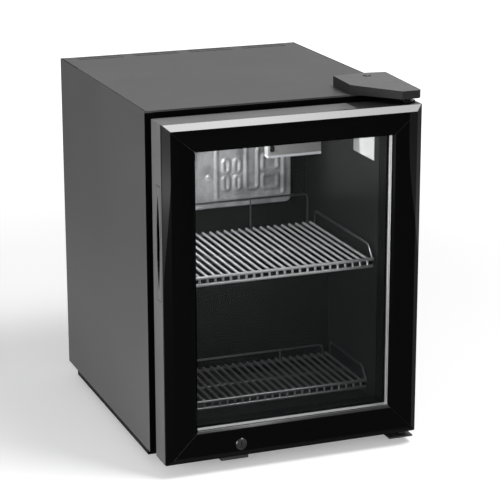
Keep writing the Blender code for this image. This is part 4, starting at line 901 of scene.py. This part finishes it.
# %% [markdown]
# ## Cooling plate
#
# Two aluminium sheets are bonded by rolling and then blown open along a printed pattern, so the
# channel swells out of the plate with soft flanks. Each point of a fine grid is lifted by its distance
# to the channel's middle line. A weak waviness keeps the flat parts from mirroring like glass, and the
# corners of the grid are drawn in to a round.

# %% Build the cooling plate
PLATE_GRID = 0.0015
PLATE_CORNER = 0.009
SHEET_THICKNESS = 0.0014
CHANNEL_WIDTH = 0.0040
CHANNEL_HEIGHT = 0.0017
CHANNEL_BEND = 0.0055
COLUMN_PITCH = 0.020
LOOP_BEND = 0.0042
WAVINESS = 0.00012
PLATE_BACKING = 0.0002
CHANNEL_LOOPS = [
    (0.021, 0.0085, 0.014, 0.020),
    (0.021, 0.0085, 0.041, 0.019),
    (0.039, 0.0085, 0.014, 0.020),
    (0.039, 0.0085, 0.041, 0.019),
    (0.092, 0.024, 0.012, 0.020),
    (0.092, 0.024, 0.041, 0.022),
]


def channel_lines(left, right, bottom, top):
    """The middle lines of the blown channels, in the plane of the plate."""
    low, high = bottom + 0.013, top - 0.012
    rise = low + 0.018
    columns = [left + 0.016 + COLUMN_PITCH * i for i in range(5)]
    last = right - 0.012
    run = [(columns[0], low), (columns[0], high), (columns[1], high), (columns[1], rise)]
    run += [(columns[2], rise), (columns[2], high), (columns[3], high)]
    run += [(columns[3], rise), (columns[4], rise), (columns[4], high)]
    run += [(0.0055, high), (0.0055, low), (last, low), (last, high), (0.053, high)]
    run += [(0.053, low + 0.013), (0.0715, low + 0.013), (0.0715, low + 0.0745), (0.096, low + 0.0745)]
    lines = [bent([(x, 0, z) for x, z in run], CHANNEL_BEND)]
    for x, wide, z, tall in CHANNEL_LOOPS:
        sides = (x - wide / 2, x + wide / 2)
        ends = (low + z, low + z + tall)
        ring = [(sides[i], 0, ends[k]) for i, k in ((0, 0), (1, 0), (1, 1), (0, 1))]
        loop = bent(ring, LOOP_BEND, closed=True)
        lines.append(loop + loop[:1])
    return lines


def distance_to(lines, x, z):
    """For every grid point, how far the nearest line is."""
    nearest = numpy.full(x.shape, 1.0)
    for line in lines:
        for start, end in zip(line, line[1:]):
            run_x, run_z = end.x - start.x, end.z - start.z
            length = max(run_x * run_x + run_z * run_z, 1e-12)
            share = numpy.clip(((x - start.x) * run_x + (z - start.z) * run_z) / length, 0, 1)
            gap = numpy.hypot(x - start.x - share * run_x, z - start.z - share * run_z)
            nearest = numpy.minimum(nearest, gap)
    return nearest


low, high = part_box("evaporator_plate")
columns = round((high.x - low.x) / PLATE_GRID)
rows = round((high.z - low.z) / PLATE_GRID)
x, z = grid_places((low.x, low.z), (high.x, high.z), columns, rows)
middle_z = (low.z + high.z) / 2
over_x = numpy.maximum(abs(x) - (high.x - PLATE_CORNER), 0)
over_z = numpy.maximum(abs(z - middle_z) - (high.z - middle_z - PLATE_CORNER), 0)
drawn_in = 1 - numpy.maximum(over_x, over_z) / numpy.maximum(numpy.hypot(over_x, over_z), TINY)
x = x - numpy.sign(x) * over_x * drawn_in
z = z - numpy.sign(z - middle_z) * over_z * drawn_in
gap = distance_to(channel_lines(low.x, high.x, low.z, high.z), x, z)
swell = 0.5 + 0.5 * numpy.cos(math.pi * numpy.clip(gap / CHANNEL_WIDTH, 0, 1))
wave = numpy.sin(61 * x + 23 * z) + numpy.sin(37 * z - 19 * x + 2) + numpy.sin(131 * x - 83 * z)
front = high.y - SHEET_THICKNESS - PLATE_BACKING
y = front - CHANNEL_HEIGHT * swell ** 0.8 + numpy.clip(WAVINESS * wave, -PLATE_BACKING, PLATE_BACKING)
points = [Vector(point) for point in zip(x.ravel(), y.ravel(), z.ravel())]
plate = assembled("blown_plate", [(points, grid_faces(rows, columns))], "evaporator_plate")
thickness = plate.modifiers.new("thickness", "SOLIDIFY")
thickness.thickness = SHEET_THICKNESS
thickness.offset = -1.0
print("grid points in the plate:", len(points))

# %% [markdown]
# ## Door seal
#
# The seal is a soft extrusion with a folded bellows, and a wide pocket on top of it that holds the
# magnet strip. The profile is drawn from the door outwards, one half mirrored from the other, and
# carried round the door with mitred corners. It only shows once the door is open.

# %% Build the door seal
SEAL_HALF_WIDTH = 0.009
BELLOWS = [(0.83, 0.00), (0.86, 0.15), (0.50, 0.22), (0.90, 0.35), (0.92, 0.41), (0.55, 0.55)]
MAGNET_POCKET = [(0.94, 0.62), (1.00, 0.68), (1.00, 0.94), (0.93, 1.00), (0.40, 0.985)]

low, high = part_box("door_gasket")
depth = high.y - low.y
profile = [(u * SEAL_HALF_WIDTH, v * depth) for u, v in BELLOWS + MAGNET_POCKET]
profile += [(-u, v) for u, v in reversed(profile)]
left, right = low.x + SEAL_HALF_WIDTH, high.x - SEAL_HALF_WIDTH
bottom, top = low.z + SEAL_HALF_WIDTH, high.z - SEAL_HALF_WIDTH
ring = [(left, low.y, bottom), (right, low.y, bottom), (right, low.y, top), (left, low.y, top)]
assembled("folded_seal", [swept(ring, profile, (0, 1, 0), closed=True)], "door_gasket")
print("points in the seal's profile:", len(profile))

# %% [markdown]
# ## The studio
#
# A white floor and a white surround, and four soft lamps. A bright square one hangs above the door,
# where the slanted upper edge of the door mirrors it, and a low one stands on the left for the side
# panel. Two small ones inside the cabinet, which no view shows, light the plate and the upper shelf.
# The surround is white to the eye but weak as a light, so that the lamps shape the fridge, and the
# floor glows towards its far end, so that it runs into the surround without a line.

# %% Build the floor and the surround
FLOOR_REACH = 12
FLOOR_GLOW = 0.30
FAR_GLOW = 0.62
FADE_STARTS = 0.5
FADE_ENDS = 2.6
SURROUND_LEVEL = 0.32


def studio_sheet(name, corners, colour):
    """A flat sheet that belongs to the studio and not to the fridge."""
    mesh = bpy.data.meshes.new(name)
    mesh.from_pydata(corners, [], [(0, 1, 2, 3)])
    sheet = bpy.data.objects.new(name, mesh)
    bpy.context.scene.collection.objects.link(sheet)
    plain = Finish(name, colour, 0.9, Specular_IOR_Level=0.0)
    mesh.materials.append(plain.material)
    sheet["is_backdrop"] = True
    return plain


corners = [(FLOOR_REACH * x, FLOOR_REACH * y, 0) for x, y in ((-1, -1), (1, -1), (1, 1), (-1, 1))]
floor_finish = studio_sheet("floor", corners, (0.90, 0.90, 0.90))
x, y = floor_finish.axes()[:2]
far = floor_finish.between((x * x + y * y) ** 0.5, FADE_STARTS, FADE_ENDS)
camera_ray = floor_finish.node("ShaderNodeLightPath")
glow = camera_ray * (FLOOR_GLOW + FAR_GLOW * far)
floor_finish.set("Emission Color", floor_finish.mix(glow, grey(0.0), grey(1.0)))
floor_finish.set("Emission Strength", 1.0)

world = bpy.data.worlds.new("surround")
world.use_nodes = True
bpy.context.scene.world = world
tree = world.node_tree
path = tree.nodes.new("ShaderNodeLightPath")
seen = path.outputs["Is Camera Ray"]
for ray in ("Is Glossy Ray", "Is Transmission Ray"):
    either = tree.nodes.new("ShaderNodeMath")
    either.operation = "MAXIMUM"
    tree.links.new(seen, either.inputs[0])
    tree.links.new(path.outputs[ray], either.inputs[1])
    seen = either.outputs[0]
level = tree.nodes.new("ShaderNodeMapRange")
level.inputs["To Min"].default_value = SURROUND_LEVEL
level.inputs["To Max"].default_value = 1.0
tree.links.new(seen, level.inputs["Value"])
tree.links.new(level.outputs[0], tree.nodes["Background"].inputs["Strength"])
tree.nodes["Background"].inputs["Color"].default_value = grey(1.0)
print("surround level for the object:", SURROUND_LEVEL)


# %% Hang the lamps
def soft_lamp(name, place, aim, size, radiance):
    """A square lamp that shines at a point. Radiance 1 is as bright as white paper in full light."""
    data = bpy.data.lights.new(name, "AREA")
    data.shape = "SQUARE"
    data.size = size
    data.energy = radiance * math.pi * size * size
    lamp = bpy.data.objects.new(name, data)
    lamp.location = place
    lamp.rotation_euler = (Vector(aim) - Vector(place)).to_track_quat("-Z", "Y").to_euler()
    bpy.context.scene.collection.objects.link(lamp)
    return lamp


MIRROR_WAY = Vector((0.369, -0.315, 0.874))
UPPER_LAMP_AWAY = 2.2

low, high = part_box("door_top_rail")
door_top = (low + high) / 2
soft_lamp("upper lamp", door_top + MIRROR_WAY * UPPER_LAMP_AWAY, door_top, size=0.9, radiance=15.5)
soft_lamp("left lamp", (-1.4, -1.05, 0.32), (-0.1, 0, 0.25), size=0.9, radiance=8.5)
inner_lamps = [
    soft_lamp("cabinet lamp", (-0.140, -0.145, 0.440), (0.03, 0.02, 0.36), size=0.05, radiance=170.0),
    soft_lamp("plate lamp", (-0.148, -0.010, 0.425), (-0.08, 0.05, 0.26), size=0.04, radiance=150.0),
]
for lamp in inner_lamps:
    lamp.visible_camera = False
print("lamps: 4")

# %% [markdown]
# ## Closing
#
# The last cell prints the size of the dressed fridge.

# %% Write the sizes and finish
low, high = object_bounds()
print("dressed size in mm:", [round(1000 * s, 1) for s in high - low])
